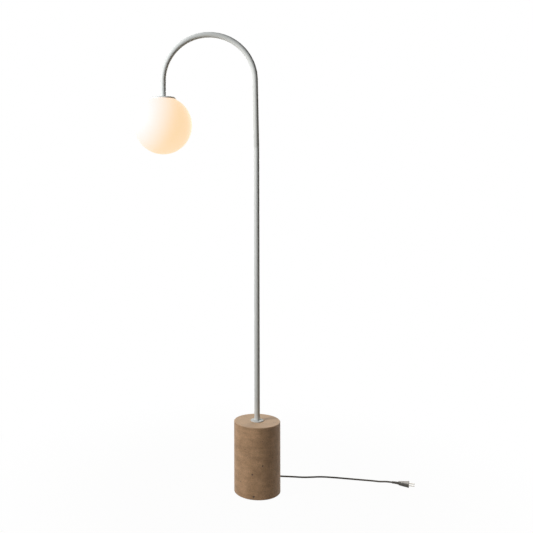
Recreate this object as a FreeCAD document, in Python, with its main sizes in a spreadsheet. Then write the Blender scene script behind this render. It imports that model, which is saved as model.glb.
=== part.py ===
import FreeCAD, Part
import math
import os
import re
import Sketcher
from FreeCAD import Placement, Rotation, Vector

# Globe floor lamp. Millimetres, +Z up, origin at the centre of the foot's underside,
# the arm reaching out along -X and the cord leaving at the back, along +Y.

os.makedirs("parts", exist_ok=True)
doc = FreeCAD.newDocument("globe_floor_lamp")

# ---------------------------------------------------------------- driving sizes

SIZES = {
    # foot
    "base_radius": 80,
    "stone_height": 243,
    "stone_edge": 1.6,
    "pad_radius": 74,
    "pad_thick": 2,
    "recess_radius": 45,
    "recess_depth": 55,
    "collar_radius": 22.5,
    "collar_thick": 3,
    "collar_edge": 0.8,
    "stone_hole": 6.5,
    "tie_radius": 5,
    "tie_bore": 3.6,
    "tie_reach": 24,
    "tie_tail": 8,
    "plate_radius": 34,
    "plate_thick": 4,
    "star_thick": 1.2,
    "star_radius": 9,
    "nut_circle": 9.8,
    "nut_height": 6,
    # cord and its way out of the foot
    "cord_radius": 2.9,
    "exit_height": 10,
    "channel_radius": 5.6,
    "flange_radius": 7.5,
    "flange_thick": 2.2,
    "spot_depth": 1.2,
    "bushing_reach": 22,
    "bushing_tip": 4.2,
    "cable_bend": 26,
    "stop_length": 10,
    "stop_width": 22,
    "stop_height": 6,
    "stop_screw": 1.4,
    "stop_screw_out": 7.2,
    # pole
    "pole_radius": 9.5,
    "pole_wall": 1.5,
    "pole_length": 945,
    "bush_length": 30,
    "thread_play": 0.05,
    "fit_gap": 0.1,
    "coupler_reach": 40,
    "coupler_wall": 3,
    "screw_radius": 2,
    "screw_length": 4,
    "screw_set": 20,
    # arm
    "upper_run": 236,
    "upper_lean": 1,
    "arc_radius": 160,
    "stem_length": 59,
    "stem_bush_length": 20,
    # head
    "cap_radius": 44,
    "cap_wall": 1.2,
    "cap_round": 2.2,
    "gasket_width": 4,
    "gasket_thick": 0.9,
    "seat_gap": 0.25,
    "globe_radius": 100,
    "globe_wall": 3,
    "globe_mouth": 35,
    "shoulder_rise": 65,
    "clip_plate_radius": 29,
    "clip_plate_thick": 1,
    "clip_thick": 0.8,
    "clip_width": 12,
    "clip_foot": 15,
    "clip_drop": 11,
    "rivet_radius": 1.5,
    "rivet_head": 0.8,
    "rivet_out": 21,
    "holder_nut_height": 4,
    "nipple_up": 15,
    "nipple_down": 17,
    # lampholder
    "holder_top": 8.4,
    "holder_radius": 20,
    "holder_wall": 2.2,
    "dome_height": 22,
    "skirt_height": 31,
    "core_thick": 4,
    "sleeve_radius": 14.2,
    "sleeve_wall": 0.6,
    "sleeve_length": 23,
    "contact_thick": 0.6,
    "terminal_out": 6.5,
    "terminal_radius": 2,
    "terminal_height": 3,
    "wire_radius": 1.2,
    # bulb
    "bulb_gap": 0.2,
    "bulb_play": 0.4,
    "contact_radius": 4.5,
    "contact_height": 1.6,
    "insulator_height": 3,
    "screw_cap_length": 20,
    "bulb_length": 107,
    "bulb_radius": 30,
    "bulb_body_height": 22,
    "bulb_wall": 1.4,
    "board_thick": 1.6,
    "chip_size": 3,
    "chip_height": 0.8,
    "chip_ring": 17,
    # foot switch on the cord
    "switch_width": 30,
    "switch_length": 64,
    "switch_low": 8,
    "switch_high": 11,
    "switch_wall": 2,
    "switch_corner": 7,
    "switch_place": 170,
    "button_radius": 9,
    "button_play": 0.3,
    "button_stand": 3.6,
    "button_lip": 1.6,
    "button_travel": 3,
    "sleeve_out": 9,
    "sleeve_in": 3,
    "sleeve_big": 5.2,
    "sleeve_small": 4.2,
    "spring_wire": 0.35,
    "spring_radius": 4,
    "spring_turns": 5,
    "wire_out": 6.2,
    # put-away coil
    "coil_outer": 43.8,
    "coil_step": 6.6,
    "coil_layer": 6.4,
    "coil_depth": 259,
    "tie_width": 9,
    "tie_strap": 1.2,
    "tie_clear": 0.3,
    # plug
    "plug_sleeve_length": 22,
    "plug_sleeve_radius": 5,
    "plug_length": 36,
    "plug_back": 7,
    "plug_half_width": 17.6,
    "plug_half_thick": 6.5,
    "plug_edge": 2,
    "pin_radius": 2,
    "pin_length": 19,
    "pin_spacing": 19,
}

# Places that follow from the driving sizes.
PLACES = {
    "stone_foot": "pad_thick",
    "stone_top": "pad_thick + stone_height",
    "recess_top": "pad_thick + recess_depth",
    "pole_foot": "stone_top + collar_thick",
    "joint_height": "pole_foot + pole_length",
    "pole_bore": "pole_radius - pole_wall",
    "washer_low": "recess_top - plate_thick - star_thick",
    "tie_low": "washer_low - nut_height - tie_tail",
    "tie_length": "pole_foot + tie_reach - tie_low",
    "bushing_face": "base_radius - spot_depth",
    "bushing_end": "bushing_face + flange_thick + bushing_reach",
    "arm_run": "upper_run - pole_radius * sin(upper_lean) - thread_play",
    "arc_start_x": "-upper_run * sin(upper_lean)",
    "arc_start_z": "joint_height + upper_run * cos(upper_lean)",
    "arc_middle_x": "arc_start_x - arc_radius * cos(upper_lean)",
    "arc_middle_z": "arc_start_z - arc_radius * sin(upper_lean)",
    "stem_x": "arc_middle_x - arc_radius",
    "head_top": "arc_middle_z - stem_length",
    "mouth_rise": "sqrt(globe_radius ^ 2 - globe_mouth ^ 2)",
    "globe_z": "head_top - cap_wall - gasket_thick - seat_gap - mouth_rise",
    "clip_face": "head_top - cap_wall - clip_plate_thick",
    "clip_spread": "globe_mouth - seat_gap",
    "holder_z": "head_top - holder_top",
    "skirt_z": "holder_z - dome_height",
    "core_z": "skirt_z - core_thick",
    "sleeve_bore": "sleeve_radius - sleeve_wall",
    "contact_z": "core_z - contact_thick",
    "bulb_top": "contact_z - bulb_gap",
    "screw_cap_top": "bulb_top - contact_height - insulator_height",
    "screw_cap_radius": "sleeve_bore - bulb_play",
    "bulb_body_z": "screw_cap_top - screw_cap_length",
    "led_z": "bulb_body_z - bulb_body_height",
    "bulb_end": "bulb_top - bulb_length",
    "bulb_middle": "bulb_end + bulb_radius",
    "switch_top": "switch_low + switch_high",
    "switch_near": "switch_place - switch_length / 2",
    "switch_far": "switch_place + switch_length / 2",
    "button_bore": "button_radius + button_play",
    "coil_x": "coil_outer",
}

home = {}


def filled_sheet(name, cells, text):
    """A spreadsheet with one aliased cell for each named value."""
    sheet = doc.addObject("Spreadsheet::Sheet", name)
    for row, (alias, content) in enumerate(cells.items(), 1):
        sheet.set("A%d" % row, alias)
        sheet.set("B%d" % row, text(content))
        sheet.setAlias("B%d" % row, alias)
        home[alias] = name + "."
    doc.recompute()
    return sheet


def bound(formula):
    """A formula with each named value pointed at the sheet that holds it."""
    return re.sub(r"[a-z][a-z_0-9]*", lambda word: home.get(word.group(), "") + word.group(), formula)


sizes = filled_sheet("Sizes", SIZES, str)
for alias in PLACES:
    home[alias] = "Places."
places = filled_sheet("Places", PLACES, lambda formula: "=" + bound(formula).replace("Places.", ""))


def worth(formula):
    """What a formula comes to with the present sizes."""
    result = sizes.evalExpression(bound(str(formula)))
    return float(getattr(result, "Value", result))


# ---------------------------------------------------------------- ways of making a piece

def put(piece, x, y, z):
    """Place a piece, its position bound to formulas."""
    for axis, formula in zip("xyz", (x, y, z)):
        piece.setExpression("Placement.Base." + axis, bound(str(formula)))


def plane(body, role):
    """The body's own origin plane of that role."""
    return [feature for feature in body.Origin.OriginFeatures if feature.Role == role][0]


def sketch_on(body, name, role="XZ_Plane"):
    """An empty sketch on one of the body's origin planes."""
    sketch = body.newObject("Sketcher::SketchObject", name)
    sketch.AttachmentSupport = [(plane(body, role), "")]
    sketch.MapMode = "FlatFace"
    return sketch


def bind_last(sketch, index, name, formula):
    sketch.renameConstraint(index, name)
    sketch.setExpression("Constraints." + name, bound(formula))


def draw_outline(sketch, outline):
    """A closed outline of straight sides through corners given as pairs of formulas."""
    corners = [Vector(worth(across), worth(up), 0) for across, up in outline]
    count = len(corners)
    for index in range(count):
        sketch.addGeometry(Part.LineSegment(corners[index], corners[(index + 1) % count]), False)
    for index in range(count):
        sketch.addConstraint(Sketcher.Constraint("Coincident", index, 2, (index + 1) % count, 1))
    for index, (across, up) in enumerate(outline):
        for kind, axis, formula in (("DistanceX", -2, across), ("DistanceY", -1, up)):
            if formula == "0":
                sketch.addConstraint(Sketcher.Constraint("PointOnObject", index, 1, axis))
                continue
            value = corners[index].x if kind == "DistanceX" else corners[index].y
            made = sketch.addConstraint(Sketcher.Constraint(kind, -1, 1, index, 1, value))
            bind_last(sketch, made, "%s%d" % (kind[-1].lower(), index), formula)


def draw_circle(sketch, across, up, radius):
    """A circle with its middle and radius bound to formulas."""
    middle = Vector(worth(across), worth(up), 0)
    made = sketch.addGeometry(Part.Circle(middle, Vector(0, 0, 1), worth(radius)), False)
    for kind, axis, formula in (("DistanceX", -2, across), ("DistanceY", -1, up)):
        if formula == "0":
            sketch.addConstraint(Sketcher.Constraint("PointOnObject", made, 3, axis))
            continue
        value = middle.x if kind == "DistanceX" else middle.y
        held = sketch.addConstraint(Sketcher.Constraint(kind, -1, 1, made, 3, value))
        bind_last(sketch, held, "%s_middle%d" % (kind[-1].lower(), made), formula)
    held = sketch.addConstraint(Sketcher.Constraint("Radius", made, worth(radius)))
    bind_last(sketch, held, "radius%d" % made, radius)


def new_body(label):
    body = doc.addObject("PartDesign::Body", label)
    body.Label = label
    return body


def turned(label, outline, x="0", y="0", z="0"):
    """A piece turned on a lathe: an outline of (radius, height) pairs spun about its own Z axis."""
    body = new_body(label)
    sketch = sketch_on(body, label + "_outline")
    draw_outline(sketch, outline)
    spin = body.newObject("PartDesign::Revolution", label + "_turn")
    spin.Profile = sketch
    spin.ReferenceAxis = (sketch, ["V_Axis"])
    spin.Angle = 360
    body.Tip = spin
    put(body, x, y, z)
    return body


def padded(label, outline, height, x="0", y="0", z="0"):
    """A plate piece: an outline in plan raised by a height."""
    body = new_body(label)
    sketch = sketch_on(body, label + "_outline", "XY_Plane")
    draw_outline(sketch, outline)
    pad = body.newObject("PartDesign::Pad", label + "_pad")
    pad.Profile = sketch
    pad.setExpression("Length", bound(height))
    body.Tip = pad
    put(body, x, y, z)
    return body


def pocket(body, name, role, draw, length, backwards):
    """Cut a sketch's shape into the body for a length along or against the plane's normal."""
    sketch = sketch_on(body, name + "_shape", role)
    draw(sketch)
    cut = body.newObject("PartDesign::Pocket", name)
    cut.Profile = sketch
    cut.setExpression("Length", bound(length))
    cut.Reversed = backwards
    body.Tip = cut
    return cut


def rounded(body, name, radius, chosen, kind="PartDesign::Fillet"):
    """Round, or chamfer, the edges that the test chooses."""
    doc.recompute()
    base = body.Tip
    names = ["Edge%d" % (i + 1) for i, edge in enumerate(base.Shape.Edges) if chosen(edge)]
    feature = body.newObject(kind, name)
    feature.Base = (base, names)
    feature.setExpression("Radius" if kind.endswith("Fillet") else "Size", bound(radius))
    body.Tip = feature
    return feature


def shaped(label, shape):
    """A piece whose shape is made directly."""
    piece = doc.addObject("Part::Feature", label)
    piece.Label = label
    piece.Shape = shape
    return piece


def rod(name, radius, length, x, y, z, turn=None):
    """A plain cylinder, its sizes and place bound."""
    piece = doc.addObject("Part::Cylinder", name)
    piece.setExpression("Radius", bound(radius))
    piece.setExpression("Height", bound(length))
    if turn:
        piece.Placement = Placement(Vector(), turn)
    put(piece, x, y, z)
    return piece


def group(label, pieces):
    """Identical small pieces kept together under one name."""
    bundle = doc.addObject("Part::Compound", label)
    bundle.Label = label
    bundle.Links = pieces
    return bundle


def cut_from(label, base, tool):
    piece = doc.addObject("Part::Cut", label)
    piece.Label = label
    piece.Base = base
    piece.Tool = tool
    return piece


def ring(label, outer, inner, height, z, x="0", y="0"):
    """A flat ring or tube."""
    return turned(label, [(inner, "0"), (outer, "0"), (outer, height), (inner, height)], x, y, z)


def hex_nut(label, circle, bore, height, x, z):
    """A six-sided nut with a plain bore."""
    prism = doc.addObject("Part::Prism", label + "_blank")
    prism.Polygon = 6
    prism.setExpression("Circumradius", bound(circle))
    prism.setExpression("Height", bound(height))
    put(prism, x, "0", z)
    return cut_from(label, prism, rod(label + "_bore", bore, height, x, "0", z))


def tube_along(wire, radius):
    """A solid tube of one radius along a smooth wire."""
    start = wire.Edges[0]
    first = start.firstVertex().Point if start.Orientation == "Forward" else start.lastVertex().Point
    way = start.tangentAt(start.FirstParameter)
    section = Part.Wire([Part.Circle(first, way, radius).toShape()])
    return wire.makePipeShell([section], True, False)


def cord_wire(name, points):
    """A cord's middle line: straight runs joined by arcs as large as the runs allow."""
    bend_share = 0.45
    corners = [Vector(*point) for point in points]
    runs = [after - before for before, after in zip(corners, corners[1:])]
    edges = []
    radii = []
    here = corners[0]
    for corner, before, after in zip(corners[1:], runs, runs[1:]):
        shorter = min(before.Length, after.Length)
        half = before.getAngle(after) / 2
        radius = bend_share * shorter / math.tan(half)
        into = Vector(before).normalize()
        out = Vector(after).normalize()
        enter = corner - into * (bend_share * shorter)
        leave = corner + out * (bend_share * shorter)
        inward = (out - into).normalize()
        middle = corner + inward * (radius / math.cos(half) - radius)
        edges.append(Part.LineSegment(here, enter).toShape())
        edges.append(Part.Arc(enter, middle, leave).toShape())
        here = leave
        radii.append(radius)
    edges.append(Part.LineSegment(here, corners[-1]).toShape())
    wire = Part.Wire(edges)
    print("%s: length %.1f mm, arc radii %s" % (name, wire.Length, " ".join("%.0f" % r for r in radii)))
    return wire


def cord_tube(label, points):
    """A free stretch of cord as a plain tube, its volume set against section times length."""
    wire = cord_wire(label, points)
    shape = tube_along(wire, cord_radius)
    expected = math.pi * cord_radius ** 2 * wire.Length
    print("%s: volume %.0f, section times length %.0f mm3" % (label, shape.Volume, expected))
    shaped(label, shape)
    return wire.Length


def biarc(start, way_in, end, way_out):
    """Two arcs from one point and direction to another, meeting smoothly."""
    span = end - start
    both = way_in + way_out
    factor = 2 * (1 - way_in.dot(way_out))
    slope = span.dot(both)
    reach = (math.sqrt(slope ** 2 + factor * span.dot(span)) - slope) / factor
    meet = (start + end + (way_in - way_out) * reach) / 2
    arcs = []
    for first, last, corner in ((start, meet, start + way_in * reach), (meet, end, end - way_out * reach)):
        chord_middle = (first + last) / 2
        sharp = math.acos(min(1.0, (last - first).Length / 2 / reach))
        middle = chord_middle + (corner - chord_middle) * (math.tan(sharp / 2) / math.tan(sharp))
        arcs.append(Part.Arc(first, middle, last).toShape())
    return arcs


def wound_wire(place, turns, per_turn=4):
    """A wire through a winding given by place(turn), as biarcs of a quarter turn each."""
    small = 1e-4
    count = round(turns * per_turn)
    stations = []
    for index in range(count + 1):
        turn = index / per_turn
        way = place(turn + small) - place(turn - small)
        stations.append((place(turn), way.normalize()))
    arcs = []
    for (start, way_in), (end, way_out) in zip(stations, stations[1:]):
        arcs += biarc(start, way_in, end, way_out)
    return arcs


def least_gap(place, turns, radius, samples=72):
    """The least clear distance of a winding to itself, measured on points."""
    spots = [place(index / samples) for index in range(int(turns * samples) + 1)]
    near = min(
        (spots[i] - spots[j]).Length
        for i in range(len(spots))
        for j in range(i + samples // 2, len(spots))
    )
    return near - 2 * radius


# ---------------------------------------------------------------- foot

def make_foot():
    turned("base_pad", [
        ("0", "0"), ("pad_radius", "0"), ("pad_radius", "pad_thick"), ("0", "pad_thick"),
    ])
    stone = turned("stone_base", [
        ("recess_radius", "0"),
        ("base_radius - stone_edge", "0"),
        ("base_radius", "stone_edge"),
        ("base_radius", "stone_height - stone_edge"),
        ("base_radius - stone_edge", "stone_height"),
        ("stone_hole", "stone_height"),
        ("stone_hole", "recess_depth"),
        ("recess_radius", "recess_depth"),
    ], z="stone_foot")
    pocket(stone, "cord_channel", "XZ_Plane",
           lambda sketch: draw_circle(sketch, "0", "exit_height - stone_foot", "channel_radius"),
           "base_radius + 1", False)
    spot = doc.addObject("Part::Cylinder", "spot_face")
    spot.setExpression("Radius", bound("flange_radius + 1"))
    spot.setExpression("Height", bound("base_radius"))
    spot.Placement = Placement(Vector(), Rotation(Vector(1, 0, 0), -90))
    put(spot, "0", "bushing_face", "exit_height")
    stone.Label = "stone_blank"
    cut_from("stone_base", stone, spot)

    turned("base_collar", [
        ("tie_radius + thread_play * 4", "0"),
        ("collar_radius", "0"),
        ("collar_radius", "collar_thick - collar_edge"),
        ("collar_radius - collar_edge", "collar_thick"),
        ("tie_radius + thread_play * 4", "collar_thick"),
    ], z="stone_top")
    ring("tie_tube", "tie_radius", "tie_bore", "tie_length", "tie_low")
    ring("clamp_plate", "plate_radius", "tie_radius + thread_play * 4", "plate_thick", "recess_top - plate_thick")
    ring("star_washer", "star_radius", "tie_radius + thread_play * 2", "star_thick", "washer_low")
    hex_nut("tie_nut", "nut_circle", "tie_radius + thread_play", "nut_height", "0", "washer_low - nut_height")
    ring("foot_bush", "pole_bore - fit_gap", "tie_radius + thread_play", "bush_length", "pole_foot")


# ---------------------------------------------------------------- cord's way out of the foot

def make_cord_exit():
    back = Rotation(Vector(1, 0, 0), -90)
    bushing = turned("exit_bushing", [
        ("cord_radius + thread_play", "-stone_edge * 5"),
        ("channel_radius - thread_play * 4", "-stone_edge * 5"),
        ("channel_radius - thread_play * 4", "0"),
        ("flange_radius", "0"),
        ("flange_radius", "flange_thick"),
        ("channel_radius", "flange_thick"),
        ("bushing_tip", "flange_thick + bushing_reach"),
        ("cord_radius + thread_play", "flange_thick + bushing_reach"),
    ])
    bushing.Placement = Placement(Vector(), back)
    put(bushing, "0", "bushing_face", "exit_height")

    stop_y = "recess_radius - stop_length - stone_edge"
    screw_places = [("-stop_screw_out", "a"), ("stop_screw_out", "b")]
    for label, low in (("cord_stop_lower", "exit_height - stop_height"), ("cord_stop_upper", "exit_height")):
        half = doc.addObject("Part::Box", label + "_block")
        half.setExpression("Length", bound("stop_width"))
        half.setExpression("Width", bound("stop_length"))
        half.setExpression("Height", bound("stop_height"))
        put(half, "-stop_width / 2", stop_y, low)
        bore = rod(label + "_bore", "cord_radius + thread_play", "stop_length", "0", stop_y, "exit_height", back)
        holes = [
            rod(label + "_hole_" + side, "stop_screw + thread_play", "stop_height", x, stop_y + " + stop_length / 2", low)
            for x, side in screw_places
        ]
        cut_from(label, half, group(label + "_cuts", [bore] + holes))
    group("cord_stop_screws", [
        rod("stop_screw_" + side, "stop_screw", "stop_height * 2", x,
            stop_y + " + stop_length / 2", "exit_height - stop_height")
        for x, side in screw_places
    ])


# ---------------------------------------------------------------- pole and arm

def joint_path(reach_down, reach_up):
    """The middle line through the pole's joint, where the upper section leans over."""
    lean = math.radians(worth("upper_lean"))
    foot = Vector(0, 0, worth("joint_height"))
    up = Vector(-math.sin(lean), 0, math.cos(lean))
    bend = worth("pole_radius")
    turn = bend / math.tan(lean / 2)
    inward = (up - Vector(0, 0, 1)).normalize()
    enter = foot - Vector(0, 0, 1) * bend
    leave = foot + up * bend
    middle = foot + inward * (turn / math.cos(lean / 2) - turn)
    return [
        Part.LineSegment(foot - Vector(0, 0, 1) * reach_down, enter).toShape(),
        Part.Arc(enter, middle, leave).toShape(),
        Part.LineSegment(leave, foot + up * reach_up).toShape(),
    ]


def set_screw_places():
    """Middles of the two set screws at the joint, on the pole's back: below it and above it."""
    lean = math.radians(worth("upper_lean"))
    foot = Vector(0, 0, worth("joint_height"))
    up = Vector(-math.sin(lean), 0, math.cos(lean))
    return [foot - Vector(0, 0, 1) * worth("screw_set"), foot + up * worth("screw_set")]


def make_pole():
    pole = ring("lower_pole", "pole_radius", "pole_bore", "pole_length", "pole_foot")
    pocket(pole, "set_screw_hole", "XZ_Plane",
           lambda sketch: draw_circle(sketch, "0", "pole_length - screw_set", "screw_radius + thread_play"),
           "pole_radius + 1", False)

    # The arm is drawn from the stem's end: up, over the half circle and down to the joint.
    arm = new_body("upper_arc")
    path = sketch_on(arm, "arm_path")
    radius = worth("arc_radius")
    lean = worth("upper_lean")
    stem = worth("stem_length")
    run = worth("arm_run")
    turn = math.radians(lean)
    middle = Vector(radius, stem, 0)
    top = middle + Vector(math.cos(turn), math.sin(turn), 0) * radius
    foot = top + Vector(math.sin(turn), -math.cos(turn), 0) * run
    path.addGeometry(Part.LineSegment(Vector(), Vector(0, stem, 0)), False)
    path.addGeometry(Part.ArcOfCircle(Part.Circle(middle, Vector(0, 0, 1), radius), turn, math.pi), False)
    path.addGeometry(Part.LineSegment(top, foot), False)
    path.addConstraint(Sketcher.Constraint("Coincident", 0, 1, -1, 1))
    path.addConstraint(Sketcher.Constraint("Vertical", 0))
    path.addConstraint(Sketcher.Constraint("Tangent", 0, 2, 1, 2))
    path.addConstraint(Sketcher.Constraint("Tangent", 1, 1, 2, 1))
    for name, constraint, formula in (
        ("stem", Sketcher.Constraint("Distance", 0, stem), "stem_length"),
        ("bend", Sketcher.Constraint("Radius", 1, radius), "arc_radius"),
        ("run", Sketcher.Constraint("Distance", 2, run), "arm_run"),
        ("lean", Sketcher.Constraint("Angle", 2, turn - math.pi / 2), "(upper_lean - 90) * 1 deg"),
    ):
        bind_last(path, path.addConstraint(constraint), name, formula)
    for name, kind, size in (("arm_outside", "AdditivePipe", "pole_radius"),
                             ("arm_bore", "SubtractivePipe", "pole_bore")):
        section = sketch_on(arm, name + "_section", "XY_Plane")
        draw_circle(section, "0", "0", size)
        doc.recompute()
        pipe = arm.newObject("PartDesign::" + kind, name)
        pipe.Profile = section
        pipe.Spine = (path, ["Edge1", "Edge2", "Edge3"])
        arm.Tip = pipe
    pocket(arm, "arm_screw_hole", "XZ_Plane",
           lambda sketch: draw_circle(
               sketch,
               "arc_radius + arc_radius * cos(upper_lean) + (upper_run - screw_set) * sin(upper_lean)",
               "stem_length + arc_radius * sin(upper_lean) - (upper_run - screw_set) * cos(upper_lean)",
               "screw_radius + thread_play"),
           "pole_radius + 1", False)
    put(arm, "stem_x", "0", "head_top")

    reach = worth("coupler_reach")
    outside = tube_along(Part.Wire(joint_path(reach, reach)), worth("pole_bore - fit_gap"))
    bore = tube_along(Part.Wire(joint_path(reach, reach)), worth("pole_bore - fit_gap - coupler_wall"))
    coupler = outside.cut(bore)
    screws = []
    for place in set_screw_places():
        tip = Vector(place.x, worth("pole_radius - screw_length"), place.z)
        hole = worth("screw_radius + thread_play")
        coupler = coupler.cut(Part.makeCylinder(hole, worth("pole_radius"), tip, Vector(0, 1, 0)))
        screws.append(Part.makeCylinder(worth("screw_radius"), worth("screw_length"), tip, Vector(0, 1, 0)))
    shaped("pole_coupler", coupler)
    shaped("set_screws", Part.makeCompound(screws))
    ring("stem_bush", "pole_bore - fit_gap", "tie_radius + thread_play", "stem_bush_length", "head_top", "stem_x")


# ---------------------------------------------------------------- head

def make_head():
    lip_in = "cap_radius - cap_wall"
    cap = turned("globe_cap", [
        ("tie_radius + thread_play * 2", "-cap_wall"),
        (lip_in, "-cap_wall"),
        (lip_in, "sqrt(globe_radius ^ 2 - (cap_radius - cap_wall) ^ 2) + globe_z - head_top + seat_gap"),
        ("cap_radius", "sqrt(globe_radius ^ 2 - cap_radius ^ 2) + globe_z - head_top + seat_gap"),
        ("cap_radius", "0"),
        ("tie_radius + thread_play * 2", "0"),
    ], "stem_x", "0", "head_top")
    rim = worth("cap_radius")
    rounded(cap, "cap_edge", "cap_round", lambda edge: abs(edge.BoundBox.ZMin) < 1e-6
            and abs(edge.BoundBox.XMax - rim) < 1e-4)

    ring("gasket", "globe_mouth + gasket_width", "globe_mouth - gasket_width / 4", "gasket_thick",
         "head_top - cap_wall - gasket_thick", "stem_x")
    ring("clip_plate", "clip_plate_radius", "tie_radius + thread_play * 2", "clip_plate_thick", "clip_face", "stem_x")
    ring("head_nipple", "tie_radius", "tie_bore", "nipple_up + nipple_down", "head_top - nipple_down", "stem_x")
    ring("holder_washer", "star_radius", "tie_radius + thread_play * 2", "star_thick", "clip_face - star_thick",
         "stem_x")
    hex_nut("holder_nut", "nut_circle", "tie_radius + thread_play", "holder_nut_height", "stem_x",
            "clip_face - star_thick - holder_nut_height")

    glass = doc.addObject("Part::Sphere", "glass_outside")
    glass.setExpression("Radius", bound("globe_radius"))
    hollow = doc.addObject("Part::Sphere", "glass_inside")
    hollow.setExpression("Radius", bound("globe_radius - globe_wall"))
    for ball in (glass, hollow):
        put(ball, "stem_x", "0", "globe_z")
    mouth = rod("glass_mouth", "globe_mouth", "globe_radius * 1.2", "stem_x", "0", "globe_z")
    blown = cut_from("glass_blown", cut_from("glass_shell", glass, hollow), mouth)
    # The blown globe is kept as two solids that meet face to face: a deep bowl, and the shoulder round its mouth.
    above = rod("glass_above", "globe_radius", "globe_radius", "stem_x", "0", "globe_z + shoulder_rise")
    cut_from("glass_globe", blown, above)
    shoulder = doc.addObject("Part::Common", "globe_shoulder")
    shoulder.Label = "globe_shoulder"
    shoulder.Base = blown
    shoulder.Tool = above

    # Three leaf springs hang from the clip plate and bear on the edge of the globe's mouth.
    half = worth("clip_width") / 2
    thick = worth("clip_thick")
    face = worth("clip_face")
    spread = worth("clip_spread")
    drop = worth("clip_drop")
    foot = worth("clip_foot")
    shoulder = worth("clip_plate_radius")
    bow = worth("cap_wall + gasket_thick + seat_gap + globe_wall") - worth("cap_wall + clip_plate_thick")
    # the strip's flat sides are set in by what its width adds to its reach
    reach = math.sqrt(spread ** 2 - half ** 2)
    outer = [(foot, 0), (shoulder, 0), (reach, -bow), (shoulder, -drop)]
    inner = [(shoulder - thick, -drop), (reach - thick * 1.2, -bow), (shoulder - thick / 2, -thick), (foot, -thick)]
    corners = [Vector(across, -half, up) for across, up in outer + inner]
    strip = Part.Face(Part.makePolygon(corners + corners[:1])).extrude(Vector(0, 2 * half, 0))
    hole = Part.makeCylinder(worth("rivet_radius"), 3 * thick, Vector(worth("rivet_out"), 0, -2 * thick))
    strip = strip.cut(hole)
    rivet = Part.makeCylinder(worth("rivet_radius"), thick, Vector(worth("rivet_out"), 0, -thick))
    head = Part.makeCylinder(worth("rivet_radius") * 1.7, worth("rivet_head"),
                             Vector(worth("rivet_out"), 0, -thick - worth("rivet_head")))
    rivet = rivet.fuse(head).removeSplitter()
    for label, one in (("globe_clips", strip), ("clip_rivets", rivet)):
        three = []
        for index in range(CLIP_COUNT):
            copy = one.copy()
            copy.rotate(Vector(), Vector(0, 0, 1), 360 / CLIP_COUNT * (index + 0.5))
            three.append(copy)
        piece = shaped(label, Part.makeCompound(three))
        piece.Placement = Placement(Vector(worth("stem_x"), 0, face), Rotation())


def make_lampholder():
    bore = "tie_radius + thread_play"
    turned("lampholder_cap", [
        (bore, "0"),
        (bore, "-holder_wall * 4"),
        ("tie_radius + holder_wall * 1.4", "-holder_wall * 4"),
        ("tie_radius + holder_wall * 1.4", "-holder_wall"),
        ("holder_radius * 0.6 - holder_wall / 2", "-holder_wall"),
        ("holder_radius - holder_wall", "-dome_height / 2"),
        ("holder_radius - holder_wall", "-dome_height"),
        ("holder_radius", "-dome_height"),
        ("holder_radius", "-dome_height / 2 + holder_wall / 2"),
        ("holder_radius * 0.6", "0"),
    ], "stem_x", "0", "holder_z")
    shelf = "holder_radius - holder_wall * 2"
    turned("lampholder_skirt", [
        ("holder_radius - holder_wall", "0"),
        ("holder_radius", "0"),
        ("holder_radius", "-skirt_height"),
        ("holder_radius - holder_wall", "-skirt_height"),
        ("holder_radius - holder_wall", "-core_thick - holder_wall"),
        (shelf, "-core_thick - holder_wall"),
        (shelf, "-core_thick"),
        ("holder_radius - holder_wall", "-core_thick"),
    ], "stem_x", "0", "skirt_z")
    disc = rod("core_disc", "holder_radius - holder_wall - thread_play", "core_thick", "stem_x", "0", "core_z")
    sides = (("left", "-"), ("right", "+"))
    wells = [
        rod("core_well_" + side, "terminal_radius + thread_play", "core_thick",
            "stem_x %s terminal_out" % sign, "0", "core_z")
        for side, sign in sides
    ]
    cut_from("lampholder_core", disc, group("core_wells", wells))
    group("terminals", [
        rod("terminal_" + side, "terminal_radius", "core_thick + terminal_height",
            "stem_x %s terminal_out" % sign, "0", "core_z")
        for side, sign in sides
    ])
    ring("lampholder_sleeve", "sleeve_radius", "sleeve_bore", "sleeve_length", "core_z - sleeve_length", "stem_x")
    contact = doc.addObject("Part::Box", "centre_contact")
    contact.setExpression("Length", bound("terminal_out + contact_radius + terminal_radius / 2"))
    contact.setExpression("Width", bound("contact_radius"))
    contact.setExpression("Height", bound("contact_thick"))
    put(contact, "stem_x - contact_radius", "-contact_radius / 2", "contact_z")

    # two wires from the end of the cable to the terminals
    wires = []
    top = worth("head_top - nipple_down")
    low = worth("core_z + core_thick + terminal_height")
    start = worth("wire_radius + thread_play * 2")
    end = worth("terminal_out")
    for side in (-1, 1):
        x = worth("stem_x")
        points = [
            (x + side * start, 0, top),
            (x + side * start, 0, top - (top - low) * 0.3),
            (x + side * end, 0, top - (top - low) * 0.7),
            (x + side * end, 0, low),
        ]
        wires.append(tube_along(cord_wire("supply wire", points), worth("wire_radius")))
    shaped("supply_wires", Part.makeCompound(wires))


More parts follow.
